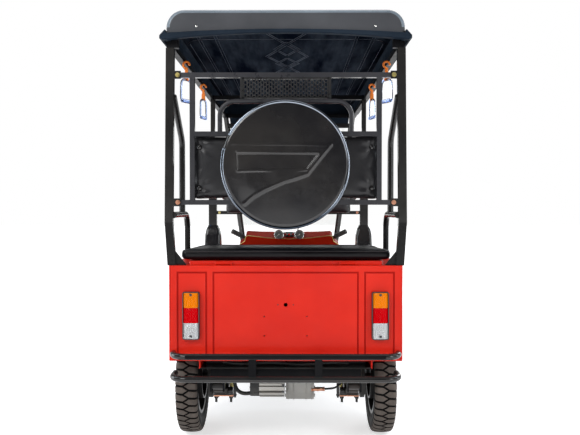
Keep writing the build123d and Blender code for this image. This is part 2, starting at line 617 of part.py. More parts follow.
# rear wall of the shell is cut to the lip's under edge
arch = make_face(low + Polyline((-LIP_X + 12, REAR_LIP_END_Z), (-LIP_X + 12, 1640),
                                (LIP_X - 12, 1640), (LIP_X - 12, REAR_LIP_END_Z)))
shell -= extrude(LIP_FACE * arch, -14 - SHELL_T) & box(-inner_x, inner_x, -1300, -1200, 1600, 1720)
roof = shell + lip
save(roof.clean(), "roof_shell")

ceiling = box(-ROOF_X + SHELL_T + 7, ROOF_X - SHELL_T - 7, ROOF_Y0 + SHELL_T + 20,
              ROOF_Y1 - SHELL_T - 40, CEILING_Z, CEILING_Z + CEILING_T)
RIB_W = 5.0
RIB_APART = 12.0
# pressed lines of the ceiling's right half: x from, y from, x to, y to
LATTICE = (
    (98.0, -624.0, -98.0, -1095.0),
    (98.0, -1095.0, 50.0, -1210.0),
    (98.0, -624.0, -75.0, -200.0),
    (55.0, -773.0, 0.0, -905.0),
    (55.0, -773.0, 0.0, -641.0),
    (55.0, -462.0, 0.0, -586.0),
    (55.0, -462.0, 0.0, -338.0),
)
LONG_RIB_X = (310.0, 385.0)
BEAD_X = 440.0
BEAD_Y = -960.0
BEAD_R = 4.0
BEAD_BEND = 90.0


def rib(x0, y0, x1, y1):
    """Raised line under the ceiling."""
    return bar((x0, y0, CEILING_Z - RIB_H / 2 + 1), (x1, y1, CEILING_Z - RIB_H / 2 + 1), RIB_W)


ribs = []
for x0, y0, x1, y1 in LATTICE:
    for shift in (-RIB_APART / 2, RIB_APART / 2):
        line = rib(x0 + shift, y0, x1 + shift, y1)
        ribs += [line, mirror(line, Plane.YZ)]
for x in LONG_RIB_X:
    for shift in (-RIB_APART / 2, RIB_APART / 2):
        line = rib(x + shift, REAR_Y + 60, x + shift, ROOF_Y1 - 80)
        ribs += [line, mirror(line, Plane.YZ)]
bead_z = CEILING_Z
ribs.append(tube([(-BEAD_X, ROOF_Y1 - 80, bead_z), (-BEAD_X, BEAD_Y, bead_z),
                  (BEAD_X, BEAD_Y, bead_z), (BEAD_X, ROOF_Y1 - 80, bead_z)], BEAD_R, BEAD_BEND))
for line in ribs:
    ceiling += line
ceiling &= box(-ROOF_X, ROOF_X, ROOF_Y0, ROOF_Y1, CEILING_Z - RIB_H, CEILING_Z + CEILING_T)
save(ceiling.clean(), "ceiling")

# hand straps under the side rails: distance ahead of the rear posts
STRAP_Y = (250.0, 800.0)
STRAP_X = 440.0
LOOP_L = 114.0
HANDLE_L = 127.0
STRAP_TOP = POST_TOP - 0.5
straps = []
for ahead in STRAP_Y:
    y = POST_Y + ahead
    hook = box(STRAP_X - 3, STRAP_X + 12, y - 12, y + 12, STRAP_TOP - 10, STRAP_TOP)
    web = box(STRAP_X - 2, STRAP_X + 2, y - 14, y + 14, STRAP_TOP - LOOP_L, STRAP_TOP)
    grip = box(STRAP_X - 9, STRAP_X + 9, y - 42, y + 42,
               STRAP_TOP - LOOP_L - HANDLE_L + 60, STRAP_TOP - LOOP_L)
    hole = box(STRAP_X - 10, STRAP_X + 10, y - 28, y + 28,
               STRAP_TOP - LOOP_L - HANDLE_L + 78, STRAP_TOP - LOOP_L - 14)
    straps.append(merge(hook, web, grip) - hole)
straps = straps + [mirror(s, Plane.YZ) for s in straps]
save(Compound(children=straps), "hand_straps")

# ================================================================ front
COWL_Z0 = BULKHEAD_Z1
COWL_Z1 = 716.0
COWL_X0 = 392.0             # half width at the bottom
COWL_X1 = 362.0             # half width at the top
COWL_Y0 = 1135.0            # nose at the bottom
COWL_Y1 = 1108.0            # nose at the top
COWL_T = 8.0
COWL_CORNER = 90.0


def cowl_block(shrink, z0, z1):
    """Tapered nose box; shrink moves every wall inward."""
    def at(z):
        t = (z - COWL_Z0) / (COWL_Z1 - COWL_Z0)
        half = COWL_X0 + (COWL_X1 - COWL_X0) * t - shrink
        nose = COWL_Y0 + (COWL_Y1 - COWL_Y0) * t - shrink
        depth = nose - DASH_Y - shrink
        corner = COWL_CORNER - shrink
        sketch = Pos(0, DASH_Y + shrink + depth / 2) * Rectangle(2 * half, depth)
        sketch = fillet(sketch.vertices().sort_by(Axis.Y)[-2:], corner)
        return Pos(0, 0, z) * sketch
    return loft([at(z0), at(z1)], ruled=True)


HEAD_Y = 1092.0
HEAD_Z = 632.0
HEAD_R = 72.0
WINK_X = 205.0
WINK_Z = 632.0
WINK_R = 30.0
SLOT_X = 60.0               # opening round the steering stem
SLOT_Y = 120.0

cowl = cowl_block(0, COWL_Z0, COWL_Z1)
cowl -= cowl_block(COWL_T, COWL_Z0 - 1, COWL_Z1 - COWL_T)
cowl -= box(-SLOT_X, SLOT_X, DASH_Y + 20, DASH_Y + SLOT_Y, COWL_Z1 - 20, COWL_Z1 + 1)
cowl -= rod((0, DASH_Y + 20, HEAD_Z), (0, COWL_Y0 + 50, HEAD_Z), HEAD_R + 0.3)
for x in (-WINK_X, WINK_X):
    cowl -= rod((x, COWL_Y1 - 60, WINK_Z), (x, COWL_Y0 + 50, WINK_Z), WINK_R + 0.3)
save(cowl.clean(), "front_cowl")

lamps = [rod((0, HEAD_Y - 18, HEAD_Z), (0, HEAD_Y + 50, HEAD_Z), HEAD_R)]
for x in (-WINK_X, WINK_X):
    lamps.append(rod((x, COWL_Y1 - 20, WINK_Z), (x, COWL_Y0 + 6, WINK_Z), WINK_R))
save(Compound(children=lamps), "front_lamps")

# windscreen frame: header, two leaning posts and a sill
SCREEN_TOP = (455.0, ROOF_Y1 - 50, POST_TOP)
SCREEN_FOOT = (345.0, COWL_Y1 - 30, COWL_Z1)
SCREEN_LOW_Z = 750.0
SCREEN_HIGH_Z = 1590.0
GLASS_T = 5.0

foot = Vector(*SCREEN_FOOT)
head = Vector(*SCREEN_TOP)


def on_post(z):
    t = (z - foot.Z) / (head.Z - foot.Z)
    return foot + (head - foot) * t


low = on_post(SCREEN_LOW_Z)
high = on_post(SCREEN_HIGH_Z)
screen = bar(tuple(on_post(COWL_Z1 - 30)), tuple(on_post(POST_TOP + 20)), TUBE)
screen = merge(screen, mirror(screen, Plane.YZ))
screen += bar((-low.X, low.Y, low.Z), (low.X, low.Y, low.Z), TUBE)
screen += bar((-high.X, high.Y, high.Z), (high.X, high.Y, high.Z), TUBE)
screen -= box(-ROOF_X, ROOF_X, DASH_Y, FRONT_AXLE_Y, POST_TOP, ROOF_Z1)
screen -= box(-ROOF_X, ROOF_X, DASH_Y, FRONT_AXLE_Y, COWL_Z0, COWL_Z1)
save(screen.clean(), "windscreen_frame")

glass_low = on_post(SCREEN_LOW_Z + 8)
glass_high = on_post(SCREEN_HIGH_Z - 8)
slope = (glass_high - glass_low).normalized()
pane_plane = Plane(origin=(0, (glass_low.Y + glass_high.Y) / 2, (glass_low.Z + glass_high.Z) / 2),
                   x_dir=(1, 0, 0), z_dir=Vector(1, 0, 0).cross(Vector(0, slope.Y, slope.Z)))
pane_h = (glass_high - glass_low).length / 2 - 8
wide_low = glass_low.X - HALF - 6
wide_high = glass_high.X - HALF - 6
pane = make_face(Polyline((-wide_low, -pane_h), (wide_low, -pane_h), (wide_high, pane_h),
                          (-wide_high, pane_h), close=True))
save(extrude(pane_plane * pane, GLASS_T / 2, both=True), "windscreen_glass")

MIRROR_Z = 1090.0
stalk = on_post(MIRROR_Z - 60)
glass_mirror = rod((452, stalk.Y - 62, MIRROR_Z), (452, stalk.Y - 46, MIRROR_Z), 46)
arm_mirror = rod((stalk.X + 4, stalk.Y - 18.2, MIRROR_Z - 60), (452, stalk.Y - 50, MIRROR_Z), 5)
save(both(merge(glass_mirror, arm_mirror)), "mirrors")

# ================================================================ steering
# Built upright about Z through the origin, then leaned onto the steering axis.
LEG_X = 90.0
LEG_R = 19.0
SLIDER_R = 24.0
GRIP_X = 398.0
GRIP_R = 16.0
BAR_R = 11.0
FORK_GAP = 3.0              # crown under the head tube


def lean(z_fixed):
    """Placement that puts upright Z onto the steering axis at height z_fixed."""
    return Pos(0, axis_point(z_fixed), z_fixed) * Rot(RAKE, 0, 0)


SPAN = (NECK_Z1 - NECK_Z0) / cos(radians(RAKE))
neck = lean(NECK_Z0)
WHEEL_DOWN = (NECK_Z0 - TYRE_R) / cos(radians(RAKE))
LEG_AHEAD = TRAIL_OFFSET * cos(radians(RAKE))
AXLE_DROP = WHEEL_DOWN + TRAIL_OFFSET * sin(radians(RAKE))

stem = Pos(0, 0, -FORK_GAP - 10) * Cylinder(STEM_R, SPAN + FORK_GAP + 22, align=(Align.CENTER, Align.CENTER, Align.MIN))
crown = box(-LEG_X - 22, LEG_X + 22, -28, LEG_AHEAD + 24, -FORK_GAP - 22, -FORK_GAP)
crown = fillet(crown.edges().filter_by(Axis.Z), 16)
fork = stem + crown
fork += box(-24, 24, -22, 14, SPAN + FORK_GAP, SPAN + 22)
for x in (-LEG_X, LEG_X):
    fork += rod((x, LEG_AHEAD, -FORK_GAP - 10), (x, LEG_AHEAD, -AXLE_DROP + 70), LEG_R)
    fork += rod((x, LEG_AHEAD, -AXLE_DROP * 0.55), (x, LEG_AHEAD, -AXLE_DROP - 18), SLIDER_R)
fork = neck * fork
axle = disc(-LEG_X - 30, LEG_X + 30, FRONT_AXLE_Y, TYRE_R, AXLE_R - 3)
axle_seat = disc(-LEG_X + 20, LEG_X - 20, FRONT_AXLE_Y, TYRE_R, AXLE_R)
fork += axle + axle_seat
save(fork.clean(), "fork")

# bar through the cover, one half: x, ahead of the stem, height above the neck's foot
BAR_PATH = ((0.0, -10.0, 262.0), (240.0, -14.0, 250.0), (306.0, -20.0, 260.0), (GRIP_X, -36.0, 322.0))
GRIP_FROM = 0.2             # share of the bar's last leg left bare
YOKE_Z1 = 290.0
YOKE_X = 26.0
YOKE_Y0 = -34.0
YOKE_Y1 = 14.0
half_bar = tube(BAR_PATH, BAR_R, 30)
inner = Vector(*BAR_PATH[2])
outer = Vector(*BAR_PATH[3])
grip = rod(tuple(inner + (outer - inner) * GRIP_FROM), tuple(outer), GRIP_R)
yoke = box(-YOKE_X, YOKE_X, YOKE_Y0, YOKE_Y1, SPAN + 22, YOKE_Z1)
bars = merge(half_bar, grip)
save((neck * merge(bars, mirror(bars, Plane.YZ), yoke)).clean(), "handlebar")

# cover over the middle of the bar, with a dip between two dials
COVER_LOW = 222.0
COVER_DIP = 275.0
COVER_HIGH = 304.0
COVER_Y_REAR = -62.0
COVER_Y_FRONT = 34.0
COVER_FOOT_X = 350.0
COVER_TOP_X = 310.0
FIT = 0.3
DIAL_X = 72.0
DIAL_R = 34.0
shoulder = Polyline((0, COVER_LOW), (COVER_FOOT_X, COVER_LOW), (COVER_FOOT_X - 4, COVER_LOW + 8),
                    (COVER_TOP_X, COVER_LOW + 34), (COVER_TOP_X - 8, COVER_HIGH - 8),
                    (COVER_TOP_X - 22, COVER_HIGH))
dip = ThreePointArc((COVER_TOP_X - 22, COVER_HIGH), (155, COVER_DIP + 9), (0, COVER_DIP))
halfway = make_face(shoulder + dip + Line((0, COVER_DIP), (0, COVER_LOW)))
half_cover = Pos(0, COVER_Y_FRONT, 0) * extrude(Rot(90, 0, 0) * halfway, COVER_Y_FRONT - COVER_Y_REAR)
# the cover thins towards its ends, ahead of the bar
half_cover -= extrude(
    make_face(Polyline((120, COVER_Y_FRONT + 1), (COVER_FOOT_X + 1, COVER_Y_FRONT - 40),
                       (COVER_FOOT_X + 1, COVER_Y_FRONT + 1), close=True)), 500)
cover_pair = merge(half_cover, mirror(half_cover, Plane.YZ))
for x in (-DIAL_X, DIAL_X):
    cover_pair += rod((x, -6, COVER_DIP - 10), (x, -44, COVER_HIGH - 4), DIAL_R)
tunnel = tube(BAR_PATH, BAR_R + FIT, 30)
tunnel += rod(tuple(inner), tuple(outer), GRIP_R + FIT)
cover_pair -= tunnel
cover_pair -= mirror(tunnel, Plane.YZ)
cover_pair -= box(-YOKE_X - FIT, YOKE_X + FIT, YOKE_Y0 - FIT, YOKE_Y1 + FIT, COVER_LOW - 1, YOKE_Z1 + FIT)
save((neck * cover_pair).clean(), "handle_cover")

GUARD_T = 4.0
GUARD_FROM = 20.0
GUARD_TO = 165.0


def arc_band(r0, r1, a0, a1, x0, x1):
    """Part ring about X between two angles above the horizon, front first."""
    n = Plane(origin=(x0, 0, 0), x_dir=(0, 1, 0), z_dir=(1, 0, 0))
    pts = []
    for r, angles in ((r1, (a0, (a0 + a1) / 2, a1)), (r0, (a1, (a0 + a1) / 2, a0))):
        pts.append([(r * cos(radians(a)), r * sin(radians(a))) for a in angles])
    outer_arc = ThreePointArc(*pts[0])
    inner_arc = ThreePointArc(*pts[1])
    ends = Line(pts[0][2], pts[1][0]) + Line(pts[1][2], pts[0][0])
    return extrude(n * make_face(outer_arc + inner_arc + ends), x1 - x0)


guard = arc_band(GUARD_R - GUARD_T, GUARD_R, GUARD_FROM, GUARD_TO, -GUARD_X + 10, GUARD_X - 10)
for x0, x1 in ((-GUARD_X, -GUARD_X + 10), (GUARD_X - 10, GUARD_X)):
    guard += arc_band(GUARD_R - 26, GUARD_R - 6, GUARD_FROM, GUARD_TO, x0 + 3, x1 - 3)
    guard += arc_band(GUARD_R - 12, GUARD_R, GUARD_FROM, GUARD_TO, x0, x1)
guard = Pos(0, FRONT_AXLE_Y, TYRE_R) * guard
STAY_Z = GUARD_R - AXLE_DROP - 18
for x in (-1, 1):
    a, b = sorted((x * (GUARD_X - 4), x * (LEG_X - LEG_R - 0.2)))
    guard += neck * box(a, b, LEG_AHEAD - 12, LEG_AHEAD + 12, STAY_Z - 13, STAY_Z + 13)
save(guard.clean(), "front_mudguard")

# ================================================================ running gear
HOUSING_R = 30.0
DIFF_X = 60.0
DIFF_R = 88.0
AXLE_END = HALF_TRACK - 88
DRUM_PLATE = 16.0
SPRING_X = 280.0
LEAF_T = 7.0
LEAF_W = 44.0
LEAF_COUNT = 4
LEAF_HALF = 270.0
LEAF_STEP = 48.0
SPRING_RISE = 62.0
MOTOR_X0 = -157.0
MOTOR_X1 = -8.0
MOTOR_R = 65.0
MOTOR_Y = AXLE_Y - 70.0
MOTOR_Z = TYRE_R - 6

housing = disc(-AXLE_END, AXLE_END, AXLE_Y, TYRE_R, HOUSING_R)
housing += disc(DIFF_X - 62, DIFF_X + 62, AXLE_Y, TYRE_R - 12, DIFF_R)
for x in (-1, 1):
    a, b = sorted((x * AXLE_END, x * (HALF_TRACK + 52)))
    housing += disc(a, b, AXLE_Y, TYRE_R, AXLE_R)
    a, b = sorted((x * (AXLE_END + DRUM_PLATE), x * AXLE_END))
    housing += disc(a, b, AXLE_Y, TYRE_R, 92)
    housing += box(x * SPRING_X - 22, x * SPRING_X + 22, AXLE_Y - 38, AXLE_Y + 38,
                   TYRE_R - HOUSING_R - 4.7, TYRE_R - 10)
save(housing.clean(), "rear_axle")

# leaf springs under the axle, each pack clamped by plates and U-bolts
leaves = []
top_z = TYRE_R - HOUSING_R - 6
for i in range(LEAF_COUNT):
    reach = LEAF_HALF - i * LEAF_STEP
    rise = SPRING_RISE * (reach / LEAF_HALF) ** 2
    z = top_z - i * LEAF_T
    upper = ThreePointArc((AXLE_Y - reach, z + rise), (AXLE_Y, z), (AXLE_Y + reach, z + rise))
    lower = ThreePointArc((AXLE_Y + reach, z + rise - LEAF_T), (AXLE_Y, z - LEAF_T), (AXLE_Y - reach, z + rise - LEAF_T))
    ends = Line(upper @ 1, lower @ 0) + Line(lower @ 1, upper @ 0)
    leaf = extrude(Plane(origin=(SPRING_X - LEAF_W / 2, 0, 0), x_dir=(0, 1, 0), z_dir=(1, 0, 0))
                   * make_face(upper + lower + ends), LEAF_W)
    leaves.append(leaf)
pack = merge(*leaves)
for y in (AXLE_Y - LEAF_HALF, AXLE_Y + LEAF_HALF):
    pack += disc(SPRING_X - LEAF_W / 2 - 0.7, SPRING_X + LEAF_W / 2 + 0.7, y, top_z + SPRING_RISE + 4, 13)
leaf_bottom = top_z - LEAF_COUNT * LEAF_T
pack &= box(0, 600, -1300, -500, 0, 400)

CLAMP_HALF = 42.0
BOLT_R = 5.5
clamp = box(SPRING_X - CLAMP_HALF, SPRING_X + CLAMP_HALF, AXLE_Y - 48, AXLE_Y + 48, leaf_bottom - 10, leaf_bottom - 0.5)
for dx in (-33, 33):
    for dy in (-37, 37):
        clamp += rod((SPRING_X + dx, AXLE_Y + dy, 134), (SPRING_X + dx, AXLE_Y + dy, TYRE_R + 8), BOLT_R)
    bow = tube(
        [(SPRING_X + dx, AXLE_Y - 37, TYRE_R), (SPRING_X + dx, AXLE_Y - 37, TYRE_R + HOUSING_R + 7),
         (SPRING_X + dx, AXLE_Y + 37, TYRE_R + HOUSING_R + 7), (SPRING_X + dx, AXLE_Y + 37, TYRE_R)],
        BOLT_R, 24,
    )
    clamp += bow
springs = [*both(pack).solids(), *both(clamp.clean()).solids()]
save(Compound(children=springs), "rear_springs")

# motor across the frame beside the differential: a body with fins along it between two end caps
FIN_COUNT = 14
FIN_H = 9.0
FIN_T = 17.0
CAP_LEFT = 40.0
CAP_RIGHT = 10.0
CABLE_R = 9.0
motor = disc(MOTOR_X0, MOTOR_X1, MOTOR_Y, MOTOR_Z, MOTOR_R - FIN_H)
motor += disc(MOTOR_X0, MOTOR_X0 + CAP_LEFT, MOTOR_Y, MOTOR_Z, MOTOR_R - 3)
motor += disc(MOTOR_X1 - CAP_RIGHT, MOTOR_X1, MOTOR_Y, MOTOR_Z, MOTOR_R)
for i in range(FIN_COUNT):
    fin = box(MOTOR_X0 + CAP_LEFT, MOTOR_X1, -FIN_T / 2, FIN_T / 2, MOTOR_R - FIN_H - 4, MOTOR_R)
    motor += Pos(0, MOTOR_Y, MOTOR_Z) * Rot(i * 360 / FIN_COUNT, 0, 0) * fin
motor -= disc(MOTOR_X0 - 1, MOTOR_X1 + 1, AXLE_Y, TYRE_R, HOUSING_R + 0.3)
motor = motor.solids().sort_by(SortBy.VOLUME)[-1]
# power cable, from the left cap up to the rail's inner side
cable = tube([(MOTOR_X0 - 0.2, MOTOR_Y, MOTOR_Z + 10), (MOTOR_X0 - 60, MOTOR_Y, MOTOR_Z + 10),
              (MOTOR_X0 - 75, MOTOR_Y, RAIL_Z0 + 20), (-RAIL_X + RAIL_W / 2 + 0.3, MOTOR_Y, RAIL_Z0 + 20)],
             CABLE_R, 24)
save(Compound(children=[motor, cable]), "motor")

# ================================================================ rear bumper and lamps
BUMP_UP_Z = 416.0
BUMP_LOW_Z = 327.0
BUMP_R = 12.5
BUMP_X = 451.0
BUMP_Y = REAR_Y - 62.0
LINK_X = 130.0


def bumper_tube(z, back_y):
    pts = [(-BUMP_X, back_y, z), (-BUMP_X, BUMP_Y, z), (BUMP_X, BUMP_Y, z), (BUMP_X, back_y, z)]
    return tube(pts, BUMP_R, 58)


bumper = bumper_tube(BUMP_UP_Z, REAR_Y) + bumper_tube(BUMP_LOW_Z, REAR_Y + 40)
for x in (-LINK_X, LINK_X):
    bumper += box(x - 15, x + 15, BUMP_Y - 4, BUMP_Y + 4, BUMP_LOW_Z, BUMP_UP_Z)
    bumper += box(x - 15, x + 15, BUMP_Y, RAIL_Y0, BUMP_LOW_Z - 4, BUMP_LOW_Z + 4)
save(bumper.clean(), "rear_bumper")

LAMP_DEPTH = 26.0
lamp = box(LAMP_X - LAMP_W / 2, LAMP_X + LAMP_W / 2, REAR_Y - LAMP_DEPTH, REAR_Y, LAMP_Z0, LAMP_Z1)
lamp = fillet(lamp.edges().filter_by(Axis.Y), 7)
lamp = fillet(lamp.faces().sort_by(Axis.Y)[0].edges(), 6)
save(both(lamp), "tail_lamps")
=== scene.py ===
"""Looks of the electric auto rickshaw: finishes, soft pieces, small parts and the stage.

Places written in millimetres go through mm(); radii and everything given to Blender are in metres.
"""
import json
import math
import random

import bmesh
import bpy
from mathutils import Matrix, Vector
from mathutils.bvhtree import BVHTree


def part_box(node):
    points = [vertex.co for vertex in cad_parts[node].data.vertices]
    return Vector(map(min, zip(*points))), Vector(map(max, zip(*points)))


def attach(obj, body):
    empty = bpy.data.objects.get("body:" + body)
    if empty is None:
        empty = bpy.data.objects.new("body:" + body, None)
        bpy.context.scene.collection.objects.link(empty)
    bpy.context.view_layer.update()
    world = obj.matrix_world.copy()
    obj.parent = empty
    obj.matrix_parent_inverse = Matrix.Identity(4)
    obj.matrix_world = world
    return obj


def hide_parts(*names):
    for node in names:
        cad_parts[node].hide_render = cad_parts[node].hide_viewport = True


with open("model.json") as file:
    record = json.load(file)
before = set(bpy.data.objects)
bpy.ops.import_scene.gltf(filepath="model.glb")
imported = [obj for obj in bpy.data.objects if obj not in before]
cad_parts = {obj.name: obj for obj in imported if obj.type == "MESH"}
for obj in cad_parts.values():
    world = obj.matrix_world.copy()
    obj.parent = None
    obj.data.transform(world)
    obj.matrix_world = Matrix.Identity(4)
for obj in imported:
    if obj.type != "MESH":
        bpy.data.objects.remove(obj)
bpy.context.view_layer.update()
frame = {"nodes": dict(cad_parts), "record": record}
nodes = frame["nodes"]
random.seed(7)


# ---------------------------------------------------------------- shader nodes
def principled(tree):
    return next(n for n in tree.nodes if n.type == "BSDF_PRINCIPLED")


def new_material(name, **values):
    """Material with a principled shader whose inputs are set to values."""
    mat = bpy.data.materials.new(name)
    mat.use_nodes = True
    shader = principled(mat.node_tree)
    for key, value in values.items():
        shader.inputs[key.replace("_", " ")].default_value = value
    return mat, mat.node_tree, shader


def add(tree, kind, **values):
    """New node; each value goes to the input of that name, or else to the node's own setting."""
    node = tree.nodes.new(kind)
    for key, value in values.items():
        if key in node.inputs:
            node.inputs[key].default_value = value
        else:
            setattr(node, key, value)
    return node


def plug(tree, socket, value):
    """Links a socket, or sets a colour or a number, on an input."""
    if isinstance(value, bpy.types.NodeSocket):
        tree.links.new(value, socket)
    elif isinstance(value, (tuple, list)):
        socket.default_value = (*value[:3], 1)
    else:
        socket.default_value = value


def texture(tree, kind, output, stretch=(1, 1, 1), **values):
    """Texture in object space, so it stays with the piece."""
    coord = add(tree, "ShaderNodeTexCoord")
    mapping = add(tree, "ShaderNodeMapping", Scale=stretch)
    tree.links.new(coord.outputs["Object"], mapping.inputs["Vector"])
    tex = add(tree, kind, **values)
    tree.links.new(mapping.outputs[0], tex.inputs["Vector"])
    return tex.outputs[output]


def noise(tree, scale, detail=4.0, rough=0.55, stretch=(1, 1, 1)):
    return texture(tree, "ShaderNodeTexNoise", "Fac", stretch, Scale=scale, Detail=detail, Roughness=rough)


def ramp(tree, fac, *stops):
    """Grey ramp; stops are (place, number)."""
    node = add(tree, "ShaderNodeValToRGB")
    bar = node.color_ramp
    while len(bar.elements) < len(stops):
        bar.elements.new(0.5)
    for element, (place, value) in zip(bar.elements, stops):
        element.position = place
        element.color = (value, value, value, 1)
    tree.links.new(fac, node.inputs["Fac"])
    return node.outputs["Color"]


def mix(tree, fac, a, b, mode="MIX"):
    """Blend of two colours; a, b and fac are sockets or values."""
    node = add(tree, "ShaderNodeMix", data_type="RGBA", blend_type=mode)
    for i, value in ((0, fac), (6, a), (7, b)):
        plug(tree, node.inputs[i], value)
    return node.outputs[2]


def math_node(tree, op, a, b):
    node = add(tree, "ShaderNodeMath", operation=op)
    plug(tree, node.inputs[0], a)
    plug(tree, node.inputs[1], b)
    return node.outputs[0]


def spread(tree, value, low, high, to_low=0.0, to_high=1.0):
    """Maps low to high of a value onto to_low to to_high."""
    node = add(tree, "ShaderNodeMapRange", **{"From Min": low, "From Max": high, "To Min": to_low, "To Max": to_high})
    tree.links.new(value, node.inputs["Value"])
    return node.outputs[0]


def bump(tree, shader, height, strength, distance):
    """Adds a bump on top of whatever bump the shader already has."""
    node = add(tree, "ShaderNodeBump", Strength=strength, Distance=distance)
    tree.links.new(height, node.inputs["Height"])
    if shader.inputs["Normal"].links:
        tree.links.new(shader.inputs["Normal"].links[0].from_socket, node.inputs["Normal"])
    tree.links.new(node.outputs[0], shader.inputs["Normal"])


def worn(tree, shader, pattern, low, high):
    """Uneven roughness; low and high are ramp stops."""
    tree.links.new(ramp(tree, pattern, low, high), shader.inputs["Roughness"])


# ---------------------------------------------------------------- finishes
DUST = (0.42, 0.36, 0.28)


def finish(name, base, second, rough, metallic=0.0, coat=0.0, grain=140, relief=0.05, dust=0.0, spec=0.5,
           stretch=(1, 1, 1)):
    """Painted or moulded surface: two close tones, uneven sheen, fine grain and a little dust."""
    mat, tree, shader = new_material(name, Metallic=metallic, Specular_IOR_Level=spec, Coat_Weight=coat,
                                     Coat_Roughness=0.06)
    broad = noise(tree, 3.0, 5.0, stretch=stretch)
    fine = noise(tree, grain, 3.0)
    tone = mix(tree, ramp(tree, broad, (0.35, 0.0), (0.68, 1.0)), base, second)
    settled = ramp(tree, noise(tree, 14.0, 8.0, 0.7), (0.5, 0.0), (0.85, dust))
    tree.links.new(mix(tree, settled, tone, DUST), shader.inputs["Base Color"])
    worn(tree, shader, noise(tree, 22.0, 6.0, 0.65), (0.3, max(rough - 0.06, 0.02)), (0.75, min(rough + 0.12, 1.0)))
    bump(tree, shader, fine, relief, 0.0006)
    return mat


def leatherette(name, base, second, spec):
    mat, tree, shader = new_material(name, Coat_Weight=0.03, Coat_Roughness=0.25, Specular_IOR_Level=spec)
    tone = mix(tree, ramp(tree, noise(tree, 5.0, 6.0), (0.35, 0.0), (0.7, 1.0)), base, second)
    tree.links.new(tone, shader.inputs["Base Color"])
    worn(tree, shader, noise(tree, 18.0, 6.0), (0.3, 0.28), (0.75, 0.42))
    bump(tree, shader, texture(tree, "ShaderNodeTexVoronoi", "Distance", Scale=620.0), 0.35, 0.0005)
    bump(tree, shader, noise(tree, 26.0, 5.0), 0.25, 0.003)
    return mat


def tyre_rubber(name, base, second):
    mat, tree, shader = new_material(name, Roughness=0.8)
    tone = mix(tree, ramp(tree, noise(tree, 30.0, 8.0, 0.7), (0.35, 0.0), (0.7, 1.0)), base, second)
    tree.links.new(tone, shader.inputs["Base Color"])
    bump(tree, shader, noise(tree, 240.0, 4.0), 0.4, 0.0008)
    return mat


def clear_glass(name, tint, rough=0.03, spec=0.5, weight=1.0):
    mat, tree, shader = new_material(name, Specular_IOR_Level=spec, Base_Color=(*tint, 1), IOR=1.45,
                                     Transmission_Weight=weight)
    worn(tree, shader, noise(tree, 12.0, 6.0), (0.3, rough), (0.8, rough + 0.05))
    bump(tree, shader, noise(tree, 8.0, 2.0), 0.03, 0.001)
    return mat


RED = finish("red_paint", (0.72, 0.019, 0.006), (0.60, 0.011, 0.004), 0.34, coat=0.04, grain=160, relief=0.03,
             spec=0.17)
BLACK = finish("black_steel", (0.017, 0.0162, 0.0158), (0.027, 0.0255, 0.0242), 0.15, coat=0.1, relief=0.012,
               dust=0.003, spec=0.32)
GLOSS = finish("gloss_black", (0.007, 0.007, 0.009), (0.024, 0.022, 0.021), 0.16, coat=0.2, grain=60, relief=0.015,
               dust=0.004, spec=0.45)
ROOF = finish("roof_black", (0.052, 0.054, 0.060), (0.084, 0.087, 0.095), 0.5, grain=220, relief=0.1, dust=0.02,
              spec=0.1)
FLOOR = finish("floor_plate", (0.32, 0.32, 0.33), (0.24, 0.24, 0.25), 0.42, 0.85, grain=120, relief=0.1, dust=0.25)
BATTERY = finish("battery_case", (0.03, 0.03, 0.034), (0.045, 0.045, 0.05), 0.55, grain=260, relief=0.25, dust=0.2)
WHEEL = finish("wheel_black", (0.008, 0.008, 0.009), (0.016, 0.015, 0.015), 0.35, coat=0.1, grain=120, relief=0.08,
               dust=0.06, spec=0.4)
CAST = finish("cast_iron", (0.03, 0.03, 0.031), (0.05, 0.047, 0.044), 0.55, 0.4, grain=300, relief=0.5, dust=0.25)
SPRING = finish("spring_steel", (0.010, 0.009, 0.009), (0.030, 0.022, 0.018), 0.45, 0.3, grain=180, relief=0.35,
                dust=0.08, spec=0.4)
ALU = finish("aluminium", (0.46, 0.45, 0.42), (0.36, 0.35, 0.33), 0.42, 0.9, grain=260, relief=0.35, dust=0.2)
GEARBOX = finish("cast_case", (0.20, 0.195, 0.185), (0.37, 0.36, 0.34), 0.5, 0.5, grain=90, relief=0.9, dust=0.2)
CHROME = finish("bright_steel", (0.7, 0.7, 0.68), (0.6, 0.6, 0.58), 0.18, 1.0, grain=200, relief=0.02, dust=0.05)
BRASS = finish("zinc_yellow", (0.62, 0.55, 0.22), (0.45, 0.36, 0.12), 0.32, 0.9, grain=200, dust=0.08)
COPPER = finish("copper_plate", (0.72, 0.36, 0.24), (0.55, 0.26, 0.16), 0.3, 0.9, grain=200, dust=0.08)
ORANGE = finish("orange_web", (1.0, 0.25, 0.012), (0.90, 0.18, 0.008), 0.5, grain=500, relief=0.4, dust=0.05)
RUBBER = finish("rubber", (0.018, 0.018, 0.018), (0.03, 0.029, 0.028), 0.6, grain=300, relief=0.3, dust=0.12)
SILVER = finish("lamp_reflector", (0.74, 0.74, 0.74), (0.62, 0.62, 0.63), 0.26, 1.0, grain=40, relief=0.3)
TRIM = finish("lamp_trim", (0.03, 0.03, 0.033), (0.05, 0.05, 0.054), 0.4, grain=300, relief=0.1, dust=0.02)
# painted reflections: the ceiling has no specular, and its gloss is painted as lighter blue-black streaks stretched
# along it
CEIL_PAINTED_REFLECTIONS = finish("ceiling_painted_reflections", (0.003, 0.005, 0.011), (0.036, 0.046, 0.062), 0.6, grain=12, relief=0.25, spec=0.0,
              stretch=(5.0, 0.8, 1.0))
# painted reflection and shade: the gloss black lips are drawn nearly matte, their blue tone standing for reflections;
# the roof's inner faces are darkened as shade
LIP_PAINTED_SHEEN = finish("roof_lip_painted_sheen", (0.011, 0.017, 0.026), (0.022, 0.032, 0.047), 0.5, grain=40, relief=0.1, spec=0.02)
